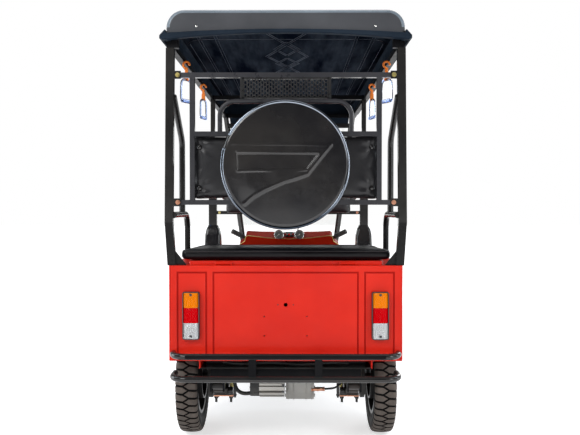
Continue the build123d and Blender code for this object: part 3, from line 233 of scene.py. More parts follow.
# painted highlight: light blue-grey on the rounded outer edges of the roof
EDGE_HIGHLIGHT = finish("roof_edge_highlight", (0.13, 0.16, 0.19), (0.20, 0.24, 0.28), 0.3, grain=120, spec=0.4)
# painted highlights: light blue-grey on the side walls of the ceiling ribs
RIB_HIGHLIGHT = finish("ceiling_rib_highlights", (0.13, 0.145, 0.175), (0.20, 0.22, 0.26), 0.6, grain=60, spec=0.0)
# painted shade: darker black for the rear faces of the posts' feet
FOOT_SHADE = finish("post_foot_shade", (0.010, 0.0097, 0.0097), (0.018, 0.0172, 0.0168), 0.25, spec=0.12)
# painted sheen: lighter grey for the rear-facing faces of the backrest frame
BAR_PAINTED_SHEEN = finish("bar_sheen", (0.030, 0.030, 0.034), (0.044, 0.044, 0.049), 0.3, spec=0.3)
# near-black and nearly matte; on the rear faces of the bumper uprights it is painted shade
UNDER = finish("rail_black", (0.005, 0.005, 0.006), (0.011, 0.011, 0.012), 0.35, spec=0.05)
DIAL = finish("dial_face", (0.10, 0.11, 0.10), (0.07, 0.075, 0.07), 0.3, grain=200, relief=0.03, dust=0.02)
MARKS = finish("dial_marks", (0.8, 0.8, 0.74), (0.7, 0.7, 0.64), 0.4, grain=200, relief=0.03)
# painted shade: darker red inside the panel grooves
GROOVE_SHADE = finish("panel_groove_shade", (0.42, 0.006, 0.003), (0.33, 0.004, 0.002), 0.5, grain=160, spec=0.1)
# painted shade: a darker copy of the body red for the handlebar cover
COVER_RED_SHADED = finish("cover_red_shaded", (0.33, 0.018, 0.004), (0.25, 0.010, 0.003), 0.35, grain=160, spec=0.08)
BAND = finish("trim_band", (0.28, 0.31, 0.36), (0.18, 0.21, 0.25), 0.10, 1.0, grain=160, relief=0.02)
GRILLE = finish("grille_black", (0.012, 0.012, 0.013), (0.03, 0.03, 0.03), 0.3, coat=0.2, dust=0.02)
SIDEWALL = finish("tyre_side", (0.002, 0.002, 0.002), (0.006, 0.006, 0.006), 0.6, grain=260, relief=0.3, dust=0.005,
                  spec=0.12)
LEATHER = leatherette("black_leatherette", (0.011, 0.011, 0.013), (0.022, 0.021, 0.023), 0.34)
# painted shade: a darker copy of the seat leatherette for the rear cushion
CUSHION_SHADED = leatherette("cushion_leather_shaded", (0.002, 0.002, 0.003), (0.005, 0.005, 0.007), 0.2)
TYRE = tyre_rubber("tyre", (0.070, 0.056, 0.047), (0.126, 0.103, 0.087))
GLASS = clear_glass("glass", (0.95, 0.97, 0.96), spec=0.2)
CLEAR = clear_glass("clear_plastic", (0.50, 0.62, 0.90), 0.06)
AMBER = clear_glass("amber_lens", (1.0, 0.27, 0.0), 0.12, 0.05, 0.25)
LAMP_RED = clear_glass("red_lens", (0.66, 0.0, 0.003), 0.12, 0.02, 0.15)
LAMP_CLEAR = clear_glass("clear_lens", (0.90, 0.91, 0.92), 0.12, 0.2, 0.55)

FINISH = {
    "red_paint": RED, "black_steel": BLACK, "gloss_black": GLOSS, "roof_black": ROOF,
    "black_leatherette": LEATHER, "floor_plate": FLOOR, "battery_case": BATTERY,
    "tyre": TYRE, "wheel_black": WHEEL, "strap": CLEAR, "lamp_lens": CHROME,
    "tail_lens": RED, "glass": GLASS, "cast_iron": CAST, "spring_steel": SPRING,
    "aluminium": ALU,
}
# the ceiling gets the painted streak reflections
OTHER_FINISH = {"ceiling": CEIL_PAINTED_REFLECTIONS, "roof_rails": UNDER, "chassis_frame": UNDER}
for sub in frame["record"]["subparts"]:
    ob = nodes[sub["node"]]
    ob.data.materials.clear()
    ob.data.materials.append(OTHER_FINISH.get(sub["node"]) or FINISH[sub["material_slot"]])


# ---------------------------------------------------------------- mesh helpers
def mm(*values):
    return tuple(v / 1000 for v in values)


def around(count, start=0.0):
    """Evenly spaced angles of a full turn."""
    return [start + 2 * math.pi * k / count for k in range(count)]


def hoop(x, y, z, r, count, start=0.0):
    """Points of an upright circle that faces along x, from mm."""
    return [mm(x, y + r * math.cos(a), z + r * math.sin(a)) for a in around(count, start)]


def pairs(loop):
    """Each item with the next one, round a closed loop."""
    return zip(loop, loop[1:] + loop[:1])


def piece(name, bm, material, body="chassis", smooth=True, stands_for=None):
    """Object from a bmesh that rides on a body, in place of a CAD node if one is named."""
    mesh = bpy.data.meshes.new(name)
    bm.normal_update()
    bm.to_mesh(mesh)
    bm.free()
    ob = bpy.data.objects.new(name, mesh)
    bpy.context.scene.collection.objects.link(ob)
    for one in material if isinstance(material, tuple) else (material,):
        mesh.materials.append(one)
    for poly in mesh.polygons:
        poly.use_smooth = smooth
    if stands_for:
        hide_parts(stands_for)
    if body:
        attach(ob, body)
    return ob


def apply_modifiers(ob):
    deps = bpy.context.evaluated_depsgraph_get()
    mesh = bpy.data.meshes.new_from_object(ob.evaluated_get(deps))
    ob.modifiers.clear()
    old = ob.data
    ob.data = mesh
    bpy.data.meshes.remove(old)


def modify(ob, kind, **settings):
    """Adds a modifier and applies it."""
    mod = ob.modifiers.new(kind.lower(), kind)
    for key, value in settings.items():
        setattr(mod, key, value)
    apply_modifiers(ob)


def sharpen(ob, angle):
    """Smooth shading with hard edges kept past angle."""
    limit = math.radians(angle)
    bm = bmesh.new()
    bm.from_mesh(ob.data)
    for edge in bm.edges:
        edge.smooth = len(edge.link_faces) == 2 and edge.calc_face_angle(0) < limit
    for face in bm.faces:
        face.smooth = True
    bm.to_mesh(ob.data)
    bm.free()


def face_outward(bm):
    bmesh.ops.recalc_face_normals(bm, faces=bm.faces[:])


def bridge(bm, a, b):
    """Faces between two closed rings of vertices."""
    for (p, q), (r, s) in zip(pairs(a), pairs(b)):
        bm.faces.new((p, q, s, r))


def add_box(bm, lo, hi):
    for v in bmesh.ops.create_cube(bm, size=1)["verts"]:
        v.co = Vector([lo[i] + (v.co[i] + 0.5) * (hi[i] - lo[i]) for i in range(3)])


def add_rod(bm, p, q, r, sides=16, r2=None):
    p, q = Vector(p), Vector(q)
    made = bmesh.ops.create_cone(bm, cap_ends=True, segments=sides, radius1=r, radius2=r if r2 is None else r2,
                                 depth=(q - p).length)
    turn = (q - p).to_track_quat("Z", "Y").to_matrix().to_4x4()
    bmesh.ops.transform(bm, matrix=Matrix.Translation((p + q) / 2) @ turn, verts=made["verts"])


def add_tube(bm, points, r, sides=12, closed=False):
    """Tube along a list of points."""
    points = [Vector(p) for p in points]
    rings = []
    count = len(points)
    side = None
    for i, p in enumerate(points):
        if closed:
            along = points[(i + 1) % count] - points[i - 1]
        else:
            along = points[min(i + 1, count - 1)] - points[max(i - 1, 0)]
        along.normalize()
        if side is None:
            side = along.orthogonal().normalized()
        side = (side - along * side.dot(along)).normalized()
        up = along.cross(side)
        rings.append([bm.verts.new(p + r * (side * math.cos(a) + up * math.sin(a))) for a in around(sides)])
    for a, b in pairs(rings) if closed else zip(rings, rings[1:]):
        bridge(bm, a, b)
    if not closed:
        bm.faces.new(list(reversed(rings[0])))
        bm.faces.new(rings[-1])


def lathe(bm, profile, centre, axis, sides=48, closed=False):
    """Turns (radius, along) pairs about an axis through centre."""
    turn = Vector(axis).to_track_quat("Z", "Y").to_matrix()
    rings = [[bm.verts.new(Vector(centre) + turn @ Vector((r * math.cos(a), r * math.sin(a), along)))
              for a in around(sides)] for r, along in profile]
    for a, b in pairs(rings) if closed else zip(rings, rings[1:]):
        bridge(bm, a, b)


def smooth_path(points, steps=8):
    """Catmull-Rom points through the given ones."""
    pts = [Vector(p) for p in points]
    pts = [pts[0] * 2 - pts[1]] + pts + [pts[-1] * 2 - pts[-2]]
    out = []
    for i in range(1, len(pts) - 2):
        a, b, c, d = pts[i - 1:i + 3]
        for k in range(steps):
            t = k / steps
            out.append(0.5 * ((2 * b) + (c - a) * t + (2 * a - 5 * b + 4 * c - d) * t * t
                              + (3 * b - a - 3 * c + d) * t ** 3))
    return out + [pts[-2]]


def add_bolt(bm, place, axis, r, proud):
    """Hexagon head on a washer, standing out along axis."""
    p, n = Vector(place), Vector(axis).normalized()
    add_rod(bm, p, p + n * proud * 0.25, r * 1.45, 20)
    add_rod(bm, p + n * proud * 0.2, p + n * proud, r, 6)


def add_dome(bm, place, axis, r, proud):
    """Rivet or screw head."""
    turn = Vector(axis).normalized().to_track_quat("Z", "Y").to_matrix().to_4x4()
    made = bmesh.ops.create_uvsphere(bm, u_segments=16, v_segments=8, radius=r)
    flat = Matrix.Diagonal((1, 1, proud / r, 1))
    bmesh.ops.transform(bm, matrix=Matrix.Translation(Vector(place)) @ turn @ flat, verts=made["verts"])


def ease(t):
    t = max(0.0, min(1.0, t))
    return t * t * (3 - 2 * t)


# ---------------------------------------------------------------- tyres
TYRE_R, AXLE_Y, TRACK = 240, -910, 418
FRONT_Y, AXLE_Z, DIFF_Z = 1140, 240, 228
TREAD_BLOCKS = 44
# one tread block from the middle to the shoulder: offset mm, lower and upper edge as shares of the pitch, radius
TREAD = ((6.0, -0.02, 0.02, 240.0), (-0.5, -0.11, 0.12, 240.0), (-7.0, -0.24, 0.26, 239.8),
         (-13.0, -0.35, 0.385, 239.6), (-22.0, -0.38, 0.36, 238.9), (-31.0, -0.41, 0.33, 237.6),
         (-38.0, -0.43, 0.31, 235.6), (-42.5, -0.445, 0.295, 232.0), (-45.2, -0.45, 0.29, 226.0),
         (-46.0, -0.43, 0.27, 218.0))
HALF_CARCASS = [(-36, 153), (-37, 160), (-41, 170), (-45.2, 186), (-46, 200), (-45.0, 212), (-43, 222), (-40, 227),
                (-36, 229.6), (-20, 230.8)]
CARCASS = HALF_CARCASS + [(0, 231)] + [(-x, r) for x, r in reversed(HALF_CARCASS)]


def tread_block(bm, start, step, way):
    """Block with chamfered edges; way -1 turns it half round for the other side of the tyre."""
    rows = []
    for x, low, high, r in TREAD:
        edge = min(0.035, (high - low) * 0.3)
        deep = max(r - 8.5, 209.0)
        row = []
        for t, radius in ((low, deep), (low, r - 1.0), (low + edge, r), (high - edge, r), (high, r - 1.0),
                          (high, deep)):
            a = start + way * t * step
            row.append(bm.verts.new(mm(way * x, radius * math.cos(a), radius * math.sin(a))))
        rows.append(row)
    for low_row, high_row in zip(rows, rows[1:]):
        for i in range(5):
            face = bm.faces.new((low_row[i], low_row[i + 1], high_row[i + 1], high_row[i]))
            face.material_index = int(i in (1, 2, 3))
    bm.faces.new(rows[0])
    bm.faces.new(list(reversed(rows[-1])))


def tyre(name, node, centre, body):
    """Ribbed carcass with interlocking tread blocks, standing on the CAD tyre's outline."""
    bm = bmesh.new()
    rings = [[bm.verts.new(mm(x, r * math.cos(a), r * math.sin(a))) for x, r in CARCASS] for a in around(128)]
    for a, b in pairs(rings):
        for i in range(len(CARCASS) - 1):
            bm.faces.new((a[i], a[i + 1], b[i + 1], b[i]))
    for side in (-1, 1):
        for x, r, bead in ((43.0, 176, 1.2), (45.9, 206, 1.0)):
            add_tube(bm, hoop(side * x, 0, 0, r, 96), bead / 1000, 6, closed=True)
    step = 2 * math.pi / TREAD_BLOCKS
    for k in range(TREAD_BLOCKS):
        tread_block(bm, k * step, step, 1)
        tread_block(bm, (k + 0.5) * step, step, -1)
    face_outward(bm)
    bmesh.ops.translate(bm, verts=bm.verts[:], vec=Vector(mm(*centre)))
    sharpen(piece(name, bm, (SIDEWALL, TYRE), body, stands_for=node), 30)


tyre("tread_rear_right", "rear_tyre_right", (TRACK, AXLE_Y, TYRE_R), "rear_wheel_right")
tyre("tread_rear_left", "rear_tyre_left", (-TRACK, AXLE_Y, TYRE_R), "rear_wheel_left")
tyre("tread_front", "front_tyre", (0, FRONT_Y, TYRE_R), "front_wheel")


# ---------------------------------------------------------------- soft pieces
UP, FORWARD, BACK = (2, 1), (1, 1), (1, -1)
CLOTH_FRAMES = 20
PRESSED = {"quality": 4, "use_pressure": True, "uniform_pressure_force": 4.0, "tension_stiffness": 12,
           "compression_stiffness": 12, "bending_stiffness": 1.0}


def cloth_pad(name, lo, hi, corner, swell, material, inset=0.003):
    """Foam pad in its cover: block with round corners, swollen by cloth pressure."""
    bm = bmesh.new()
    add_box(bm, lo + Vector((inset,) * 3), hi - Vector((inset,) * 3))
    ob = piece(name, bm, material, body=None)
    modify(ob, "BEVEL", width=corner, segments=5, limit_method="ANGLE")
    modify(ob, "REMESH", mode="VOXEL", voxel_size=0.009 if max(hi - lo) > 0.7 else 0.007)
    start = [v.co.copy() for v in ob.data.vertices]
    cloth = ob.modifiers.new("cloth", "CLOTH")
    for key, value in PRESSED.items():
        setattr(cloth.settings, key, value)
    cloth.settings.effector_weights.gravity = 0
    cloth.point_cache.frame_start = 1
    cloth.point_cache.frame_end = CLOTH_FRAMES
    for f in range(1, CLOTH_FRAMES + 1):
        bpy.context.scene.frame_set(f)
    apply_modifiers(ob)
    bpy.context.scene.frame_set(1)
    for v, s in zip(ob.data.vertices, start):
        move = v.co - s
        if move.length > swell:
            v.co = s + move * (swell / move.length)
    return ob


def shares(co, lo, hi, axis):
    """Places across the open face, from 0 to 1, and the share of the thickness towards it."""
    t = [(co[i] - lo[i]) / (hi[i] - lo[i]) for i in range(3)]
    a, b = (t[i] for i in range(3) if i != axis[0])
    return a, b, t[axis[0]] if axis[1] > 0 else 1 - t[axis[0]]


def crown(ob, lo, hi, axis):
    """Pulls the sides in between corners, crowns the open face and stretches the pad to fill its box."""
    others = [i for i in range(3) if i != axis[0]]
    thick = hi[axis[0]] - lo[axis[0]]
    for v in ob.data.vertices:
        a, b, face = shares(v.co, lo, hi, axis)
        a, b = 2 * a - 1, 2 * b - 1
        dome = max(0.0, 1 - abs(a) ** 3.2) * max(0.0, 1 - abs(b) ** 3.2)
        if face > 0.35:
            v.co[axis[0]] += axis[1] * thick * 0.10 * (dome - 0.75) * min(1, (face - 0.35) / 0.4)
        for i, edge, other in ((others[0], a, b), (others[1], b, a)):
            pull = 0.004 * max(0.0, 1 - other ** 2) * max(0.0, abs(edge) - 0.8) / 0.2
            v.co[i] -= math.copysign(pull, edge)
    spare = 0.0006
    for i in range(3):
        low, high = (pick(v.co[i] for v in ob.data.vertices) for pick in (min, max))
        for v in ob.data.vertices:
            t = (v.co[i] - low) / (high - low)
            v.co[i] = lo[i] + spare + t * (hi[i] - lo[i] - 2 * spare)


def wrinkles(ob, axis, amount, seed):
    """Small drawn creases near the corners and a faint unevenness."""
    rng = random.Random(seed)
    phase = [rng.uniform(0, 6.28) for _ in range(6)]
    lo, hi = ([pick(v.co[i] for v in ob.data.vertices) for i in range(3)] for pick in (min, max))
    for v in ob.data.vertices:
        a, b, face = shares(v.co, lo, hi, axis)
        wave = (math.sin(a * 31 + phase[0] + 2 * math.sin(b * 9 + phase[1]))
                + 0.6 * math.sin(b * 43 + phase[2] + 3 * math.sin(a * 7 + phase[3])))
        near = max(abs(2 * a - 1), abs(2 * b - 1)) ** 6
        if 0.3 < face:
            i = axis[0]
            v.co[i] += axis[1] * amount * (0.25 + near) * wave * (-1 if face > 0.93 else 1) * 0.5
            v.co[i] = min(max(v.co[i], lo[i]), hi[i])


def piping(name, ob, body, lo, hi, level):
    """Sewn cord round the top of a seat, laid on its surface at a level."""
    tree = BVHTree.FromObject(ob, bpy.context.evaluated_depsgraph_get())
    middle, half = (lo + hi) / 2, (hi - lo) / 2
    origin = Vector((middle.x, middle.y, level))
    power = 0.16
    pts = []
    for a in around(200):
        c, s = math.cos(a), math.sin(a)
        d = Vector((half.x * math.copysign(abs(c) ** power, c), half.y * math.copysign(abs(s) ** power, s), 0))
        hit = tree.ray_cast(origin + d * 1.3, -(d.normalized()))
        if hit[0] is not None:
            pts.append(hit[0] - d.normalized() * 0.0003)
    bm = bmesh.new()
    add_tube(bm, pts, 0.0032, 8, closed=True)
    piece(name, bm, LEATHER, body)


def seat(name, node, body, corner, swell, axis, seed, level=None, low=(0, 0, 0), high=(0, 0, 0),
         shape=None, material=LEATHER):
    """Pad in place of a CAD node; low and high move the corners of its box (m), shape is a last touch.

    A level, in m below the top of the node, adds piping there."""
    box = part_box(node)
    lo, hi = Vector(box[0]) + Vector(low), Vector(box[1]) + Vector(high)
    ob = cloth_pad(name, lo, hi, corner, swell, material)
    crown(ob, lo, hi, axis)
    wrinkles(ob, axis, 0.0012, seed)
    if shape:
        shape(ob, lo, hi)
    modify(ob, "SUBSURF", levels=1, render_levels=1)
    for poly in ob.data.polygons:
        poly.use_smooth = True
    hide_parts(node)
    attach(ob, body)
    if level is not None:
        piping(name + "_piping", ob, body, lo, hi, box[1][2] - level)


def slope_forward(ob, lo, hi):
    """Highest along the rear edge, sinking towards the knees."""
    for v in ob.data.vertices:
        ahead, up = ((v.co[i] - lo[i]) / (hi[i] - lo[i]) for i in (1, 2))
        v.co.z -= 0.011 * ease(ahead / 0.8) * up


STUDS = [(x * 0.350, z) for x in (-1, 1) for z in (1.081, 1.247)]


def stud_dimples(ob, lo, hi):
    """Hollows under the studs of the back and the folds that run from them to the corners."""
    for v in ob.data.vertices:
        back = 1 - (v.co.y - lo.y) / (hi.y - lo.y)
        if back < 0.4:
            continue
        sink = 0.0
        for x, z in STUDS:
            dx, dz = v.co.x - x, v.co.z - z
            d = math.hypot(dx, dz)
            fold = math.cos(5 * math.atan2(dz, dx) + 1.3 * x / 0.35 + 2 * z)
            sink += 0.0075 * math.exp(-(d / 0.021) ** 2) + 0.0024 * fold * math.exp(-((d - 0.034) / 0.026) ** 2)
        v.co.y += sink * min(1.0, (back - 0.4) / 0.4)


# the rear cushion takes the darker, shaded copy of the leatherette
seat("rear_seat_cushion", "rear_cushion", "seat_lid", 0.013, 0.006, UP, 1, 0.006, high=(0, 0, 0.009),
     shape=slope_forward, material=CUSHION_SHADED)
seat("rear_back_pad", "backrest_pad", "chassis", 0.013, 0.006, FORWARD, 2,
     low=(-0.008, 0, 0), high=(0.008, 0, 0.009), shape=stud_dimples)
bm = bmesh.new()
for x, z in STUDS:
    add_dome(bm, (x, -1.2015, z), (0, -1, 0), 0.0095, 0.0035)
    add_rod(bm, (x, -1.196, z), (x, -1.2015, z), 0.0095, 20)
piece("pad_studs", bm, GLOSS)
seat("middle_seat_cushion", "mid_cushion", "chassis", 0.018, 0.007, UP, 3, 0.014)
seat("middle_back_pad", "mid_backrest_pad", "chassis", 0.018, 0.008, BACK, 4, low=(0, 0, 0.027))
seat("driver_cushion", "driver_seat", "chassis", 0.022, 0.008, UP, 5, 0.016)


# ---------------------------------------------------------------- second finishes on CAD pieces
def paint(name, material, test):
    """Second finish for the faces of a CAD node; test gets a face's centre (mm) and its normal."""
    ob = nodes[name]
    ob.data.materials.append(material)
    slot = len(ob.data.materials) - 1
    place = ob.matrix_world
    spin = place.to_3x3()
    for poly in ob.data.polygons:
        if test(place @ poly.center * 1000, spin @ poly.normal):
            poly.material_index = slot


def inside_roof(c, n):
    """Lips and inner faces of the roof shell. The lips are gloss black, drawn nearly matte with a blue tone that is a
    painted reflection; on the inner faces the dark tone is painted shade.
    """
    return (c.y < -1251 or abs(c.x) > 477 or n.z < -0.3
            or (abs(c.x) < 468 and -1242 < c.y < 942 and abs(n.z) < 0.3 and c.z < 1783))


def roof_edge_highlight(c, n):
    """Rounded outer edges of the roof's rear and front faces, which get a painted highlight."""
    return (c.z > 1712 and n.z > -0.2 and 0.12 < abs(n.y) < 0.985
            and (c.y < -1241 and n.y < 0 or c.y > 941 and n.y > 0))


SPRING_X, BOLT_X, BOLT_Y = 280, 33, 37


def bolt_end(c):
    return (c.z > 168 and abs(abs(abs(c.x) - SPRING_X) - BOLT_X) < 6.5
            and abs(abs(c.y - AXLE_Y) - BOLT_Y) < 6.5)


def clamp(c):
    return c.z < 190 and abs(c.y - AXLE_Y) < 48.5 and not bolt_end(c)


for paint_job in (
        ("seat_box", BLACK, lambda c, n: c.z < 386),
        # painted shade in the grooves of the rear panel
        ("rear_panel", GROOVE_SHADE, lambda c, n: -1239.7 < c.y < -1237.6 and abs(c.x) < 464 and 392 < c.z < 764),
        # painted highlights on the side walls of the ceiling ribs
        ("ceiling", RIB_HIGHLIGHT, lambda c, n: c.z < 1741.6 and abs(n.z) < 0.5),
        # painted shade: the whole handlebar cover in the darker red
        ("handle_cover", COVER_RED_SHADED, lambda c, n: True),
        # painted reflection on the roof lips and painted shade on the roof's inner faces
        ("roof_shell", LIP_PAINTED_SHEEN, inside_roof),
        # painted highlight along the roof's rounded edges
        ("roof_shell", EDGE_HIGHLIGHT, roof_edge_highlight),
        # painted shade on the rear faces of the posts below 950 mm
        ("rear_posts", FOOT_SHADE, lambda c, n: c.z < 950 and n.y < -0.2),
        # painted sheen on the rear faces of the backrest frame
        ("backrest_frame", BAR_PAINTED_SHEEN, lambda c, n: n.y < -0.5),
        # painted shade: the rear faces of the bumper uprights in near-black
        ("rear_bumper", UNDER, lambda c, n: abs(abs(c.x) - 130) < 15.5 and n.y < -0.9 and c.z > 330),
        ("motor", RUBBER, lambda c, n: c.x < -117.5),
        ("motor", TRIM, lambda c, n: c.x > -18),
        ("rear_axle", GEARBOX, lambda c, n: -2.5 < c.x < 122.5 and math.hypot(c.y - AXLE_Y, c.z - DIFF_Z) > 35),
        ("rear_springs", BRASS, lambda c, n: bolt_end(c) or (c.z > 245 and abs(c.y - AXLE_Y) < 48)),
        ("rear_springs", BLACK, lambda c, n: clamp(c)),
        ("handlebar", RUBBER, lambda c, n: abs(c.x) > 322),
        ("fork", CHROME, lambda c, n: abs(abs(c.x) - 90) < 19.6 and 380 < c.z < 540),
        ("mirrors", RUBBER, lambda c, n: True),
        ("handle_cover", TRIM, lambda c, n: abs(abs(c.x) - 72) < 34.5 and c.z > 790)):
    paint(*paint_job)


# ---------------------------------------------------------------- tail lamps
LAMP_X, LAMP_HALF = 378, 33.75
LAMP_Z0, LAMP_Z1 = 475, 665
LAMP_FACE, LAMP_BACK = -1262, -1240.3
LENSES = (("reverse", 478, 541, LAMP_CLEAR), ("stop", 541, 602, LAMP_RED), ("turn", 602, 662, AMBER))


def sheet(bm, columns, rows, place):
    """Grid of vertices at place(column, row), in mm, with its faces."""
    grid = [[bm.verts.new(mm(*place(i, j))) for j in range(rows + 1)] for i in range(columns + 1)]
    for i in range(columns):
        for j in range(rows):
            bm.faces.new((grid[i][j], grid[i + 1][j], grid[i + 1][j + 1], grid[i][j + 1]))
    return grid


def ribbed_lens(name, x, z0, z1, material):
    """Lens block with a fine pattern on its face and sides that turn back."""
    half, columns, rows = LAMP_HALF - 3, 16, 9
    lens = bmesh.new()

    def face(i, j):
        u = i / columns
        wave = 1.1 if (i + j) % 2 else -0.4
        inner = 0 < i < columns and 0 < j < rows
        return (x - half + 2 * half * u, LAMP_FACE + 1.2 + (2 * u - 1) ** 6 * 6 + (wave if inner else 0),
                z0 + (z1 - z0) * j / rows)

    def back(i, j):
        px, py, pz = face(i, j)
        return px, py + 6, pz

    front, rear = (sheet(lens, columns, rows, place) for place in (face, back))
    for a, b in ((front[0], rear[0]), (front[-1], rear[-1]), ([c[0] for c in front], [c[0] for c in rear]),
                 ([c[-1] for c in front], [c[-1] for c in rear])):
        for p, q, r, s in zip(a, a[1:], b[1:], b):
            lens.faces.new((p, q, r, s))
    face_outward(lens)
    piece(name, lens, material, smooth=False)


def lamp_rim(bm, x):
    """Open frame with rounded corners."""
    def loop(inset, y):
        r = max(7 - inset, 1)
        side = LAMP_HALF - inset - r
        corners = ((side, LAMP_Z1 - inset - r), (-side, LAMP_Z1 - inset - r), (-side, LAMP_Z0 + inset + r),
                   (side, LAMP_Z0 + inset + r))
        return [bm.verts.new(mm(x + cx + r * math.cos(a), y, cz + r * math.sin(a)))
                for quarter, (cx, cz) in enumerate(corners)
                for a in (math.radians(90 * quarter + 15 * k) for k in range(7))]
    rings = [loop(*ring) for ring in ((0, LAMP_BACK), (0, LAMP_FACE + 1.5), (1.2, LAMP_FACE), (2.4, LAMP_FACE),
                                      (3, LAMP_FACE + 1), (3, LAMP_BACK))]
    for a, b in pairs(rings):
        bridge(bm, a, b)


for x, label in ((LAMP_X, "right"), (-LAMP_X, "left")):
    bm = bmesh.new()
    lamp_rim(bm, x)
    add_box(bm, mm(x - LAMP_HALF + 2, LAMP_BACK - 4, LAMP_Z0 + 2), mm(x + LAMP_HALF - 2, LAMP_BACK, LAMP_Z1 - 2))
    face_outward(bm)
    piece(f"tail_lamp_case_{label}", bm, TRIM, smooth=False, stands_for="tail_lamps" if x > 0 else None)
    bm = bmesh.new()
    for z in (541, 602):
        add_box(bm, mm(x - LAMP_HALF + 3, LAMP_BACK - 18, z - 0.8), mm(x + LAMP_HALF - 3, LAMP_BACK - 4, z + 0.8))
    for _, z0, z1, _ in LENSES:
        def bowl(i, j):
            u, w = i / 6 - 1, j / 6 - 1
            return (x + u * (LAMP_HALF - 3.2), LAMP_FACE + 9.5 + 11 * max(0.0, 1 - 0.5 * (u * u + w * w)),
                    (z0 + z1) / 2 + w * (z1 - z0) / 2 * 0.98)
        sheet(bm, 12, 12, bowl)
    piece(f"tail_lamp_bowls_{label}", bm, SILVER)
    for part, z0, z1, material in LENSES:
        ribbed_lens(f"tail_lens_{part}_{label}", x, z0 + 0.3, z1 - 0.3, material)
    bm = bmesh.new()
    for z in (LAMP_Z0 + 13, LAMP_Z1 - 11):
        add_dome(bm, mm(x, LAMP_FACE + 1, z), (0, -1, 0), 0.0045, 0.0022)
        add_rod(bm, mm(x, LAMP_FACE + 3.5, z), mm(x, LAMP_FACE - 0.2, z), 0.0052, 16)
    piece(f"tail_lamp_screws_{label}", bm, TRIM)


# ---------------------------------------------------------------- spare wheel cover
COVER_C = Vector((0.0, -1.387, 1.164))
BLADE = ((-240, 81), (175, 76), (85, -36), (-5, -64), (-75, -95), (-168, -150), (-240, -200))
BLADE_TAIL = ((175, 76), (85, -36), (40, -52), (-5, -64), (-75, -95), (-120, -120), (-165, -156))
SUNK = ((-182, 44), (125, 41), (82, -15), (-179, -19))


def line_distance(x, z, line):
    best = 1e9
    for (ax, az), (bx, bz) in zip(line, line[1:]):
        dx, dz = bx - ax, bz - az
        t = max(0.0, min(1.0, ((x - ax) * dx + (z - az) * dz) / (dx * dx + dz * dz)))
        best = min(best, math.hypot(x - ax - t * dx, z - az - t * dz))
    return best


def depth_inside(x, z, outline):
    """Distance to a closed outline, below zero outside it."""
    found = False
    for (ax, az), (bx, bz) in pairs(outline):
        if (az > z) != (bz > z) and x < (bx - ax) * (z - az) / (bz - az) + ax:
            found = not found
    reach = line_distance(x, z, outline + outline[:1])
    return reach if found else -reach


def crease(x, z, line, height, width):
    return height * math.exp(-(line_distance(x, z, line) / width) ** 2)


def cover_relief(x, z):
    """Height of the pressed pattern, mm, at x and z from the centre."""
    r = math.hypot(x, z)
    fade = 1 - ease((r - 210) / 15)
    sunk = depth_inside(x, z, SUNK)
    return (3.4 * ease(depth_inside(x, z, BLADE) / 7 + 0.5) * (1 - ease((r - 140) / 85))
            + crease(x, z, BLADE_TAIL, 2.2, 5.0) * fade + crease(x, z, BLADE[:2], 1.0, 4.0) * fade
            - 3.6 * ease(sunk / 5 + 0.5) + 1.2 * math.exp(-((sunk + 4.2) / 3.6) ** 2))


profile = [(r, 2.8 + 3.4 * r / 226, True) for r in [1.6 * i for i in range(1, 141)] + [225.5]]
for k in range(1, 13):
    a = math.radians(7.5 * k)
    profile.append((226 + 20 * math.sin(a), 6.2 + 18 * (1 - math.cos(a)), False))
profile += [(r, depth, False) for r, depth in ((246, 60), (246, 119), (247.2, 120.5), (247.2, 124.2), (244, 124.6),
                                               (243, 121), (243, 60))]
bm = bmesh.new()
centre = bm.verts.new(COVER_C + Vector((0, 0.0028, 0)))
rings = []
for r, depth, pressed in profile:
    ring = []
    for a in around(336):
        x, z = r * math.cos(a), r * math.sin(a)
        y = depth - (cover_relief(x, z) if pressed else 0)
        ring.append(bm.verts.new(COVER_C + Vector(mm(x, max(y, 0.1), z))))
    rings.append(ring)
for p, q in pairs(rings[0]):
    bm.faces.new((centre, p, q))
for a, b in zip(rings, rings[1:]):
    bridge(bm, a, b)
face_outward(bm)
piece("spare_wheel_cover", bm, GLOSS, stands_for="spare_cover")

# trim band round the front edge, open at its joint on the left; its tone deepens towards the bottom as painted shade
# in its reflection
tree = BAND.node_tree
base = principled(tree).inputs["Base Color"]
split = add(tree, "ShaderNodeSeparateXYZ")
tree.links.new(add(tree, "ShaderNodeTexCoord").outputs["Object"], split.inputs[0])
height = spread(tree, split.outputs["Z"], 0.96, 1.12)
tree.links.new(mix(tree, height, (0.035, 0.045, 0.060), base.links[0].from_socket), base)
bm = bmesh.new()
add_tube(bm, [COVER_C + Vector(mm(239.5 * math.cos(a), 12.0, 239.5 * math.sin(a)))
              for a in (math.radians(164 + 2 * k) for k in range(175))], 0.0064, 14)
piece("cover_trim_band", bm, BAND)
bm = bmesh.new()
for a in (math.radians(158), math.radians(10)):
    out = Vector((math.cos(a), 0, math.sin(a)))
    add_dome(bm, COVER_C + Vector((0, 0.070, 0)) + out * 0.246, out, 0.007, 0.003)
piece("cover_screws", bm, CHROME)


# ---------------------------------------------------------------- mesh grille
def add_bar(bm, x0, x1, half_y, z0, z1, y=-1215):
    """Block across the backrest frame, from mm."""
    add_box(bm, mm(x0, y - half_y, z0), mm(x1, y + half_y, z1))


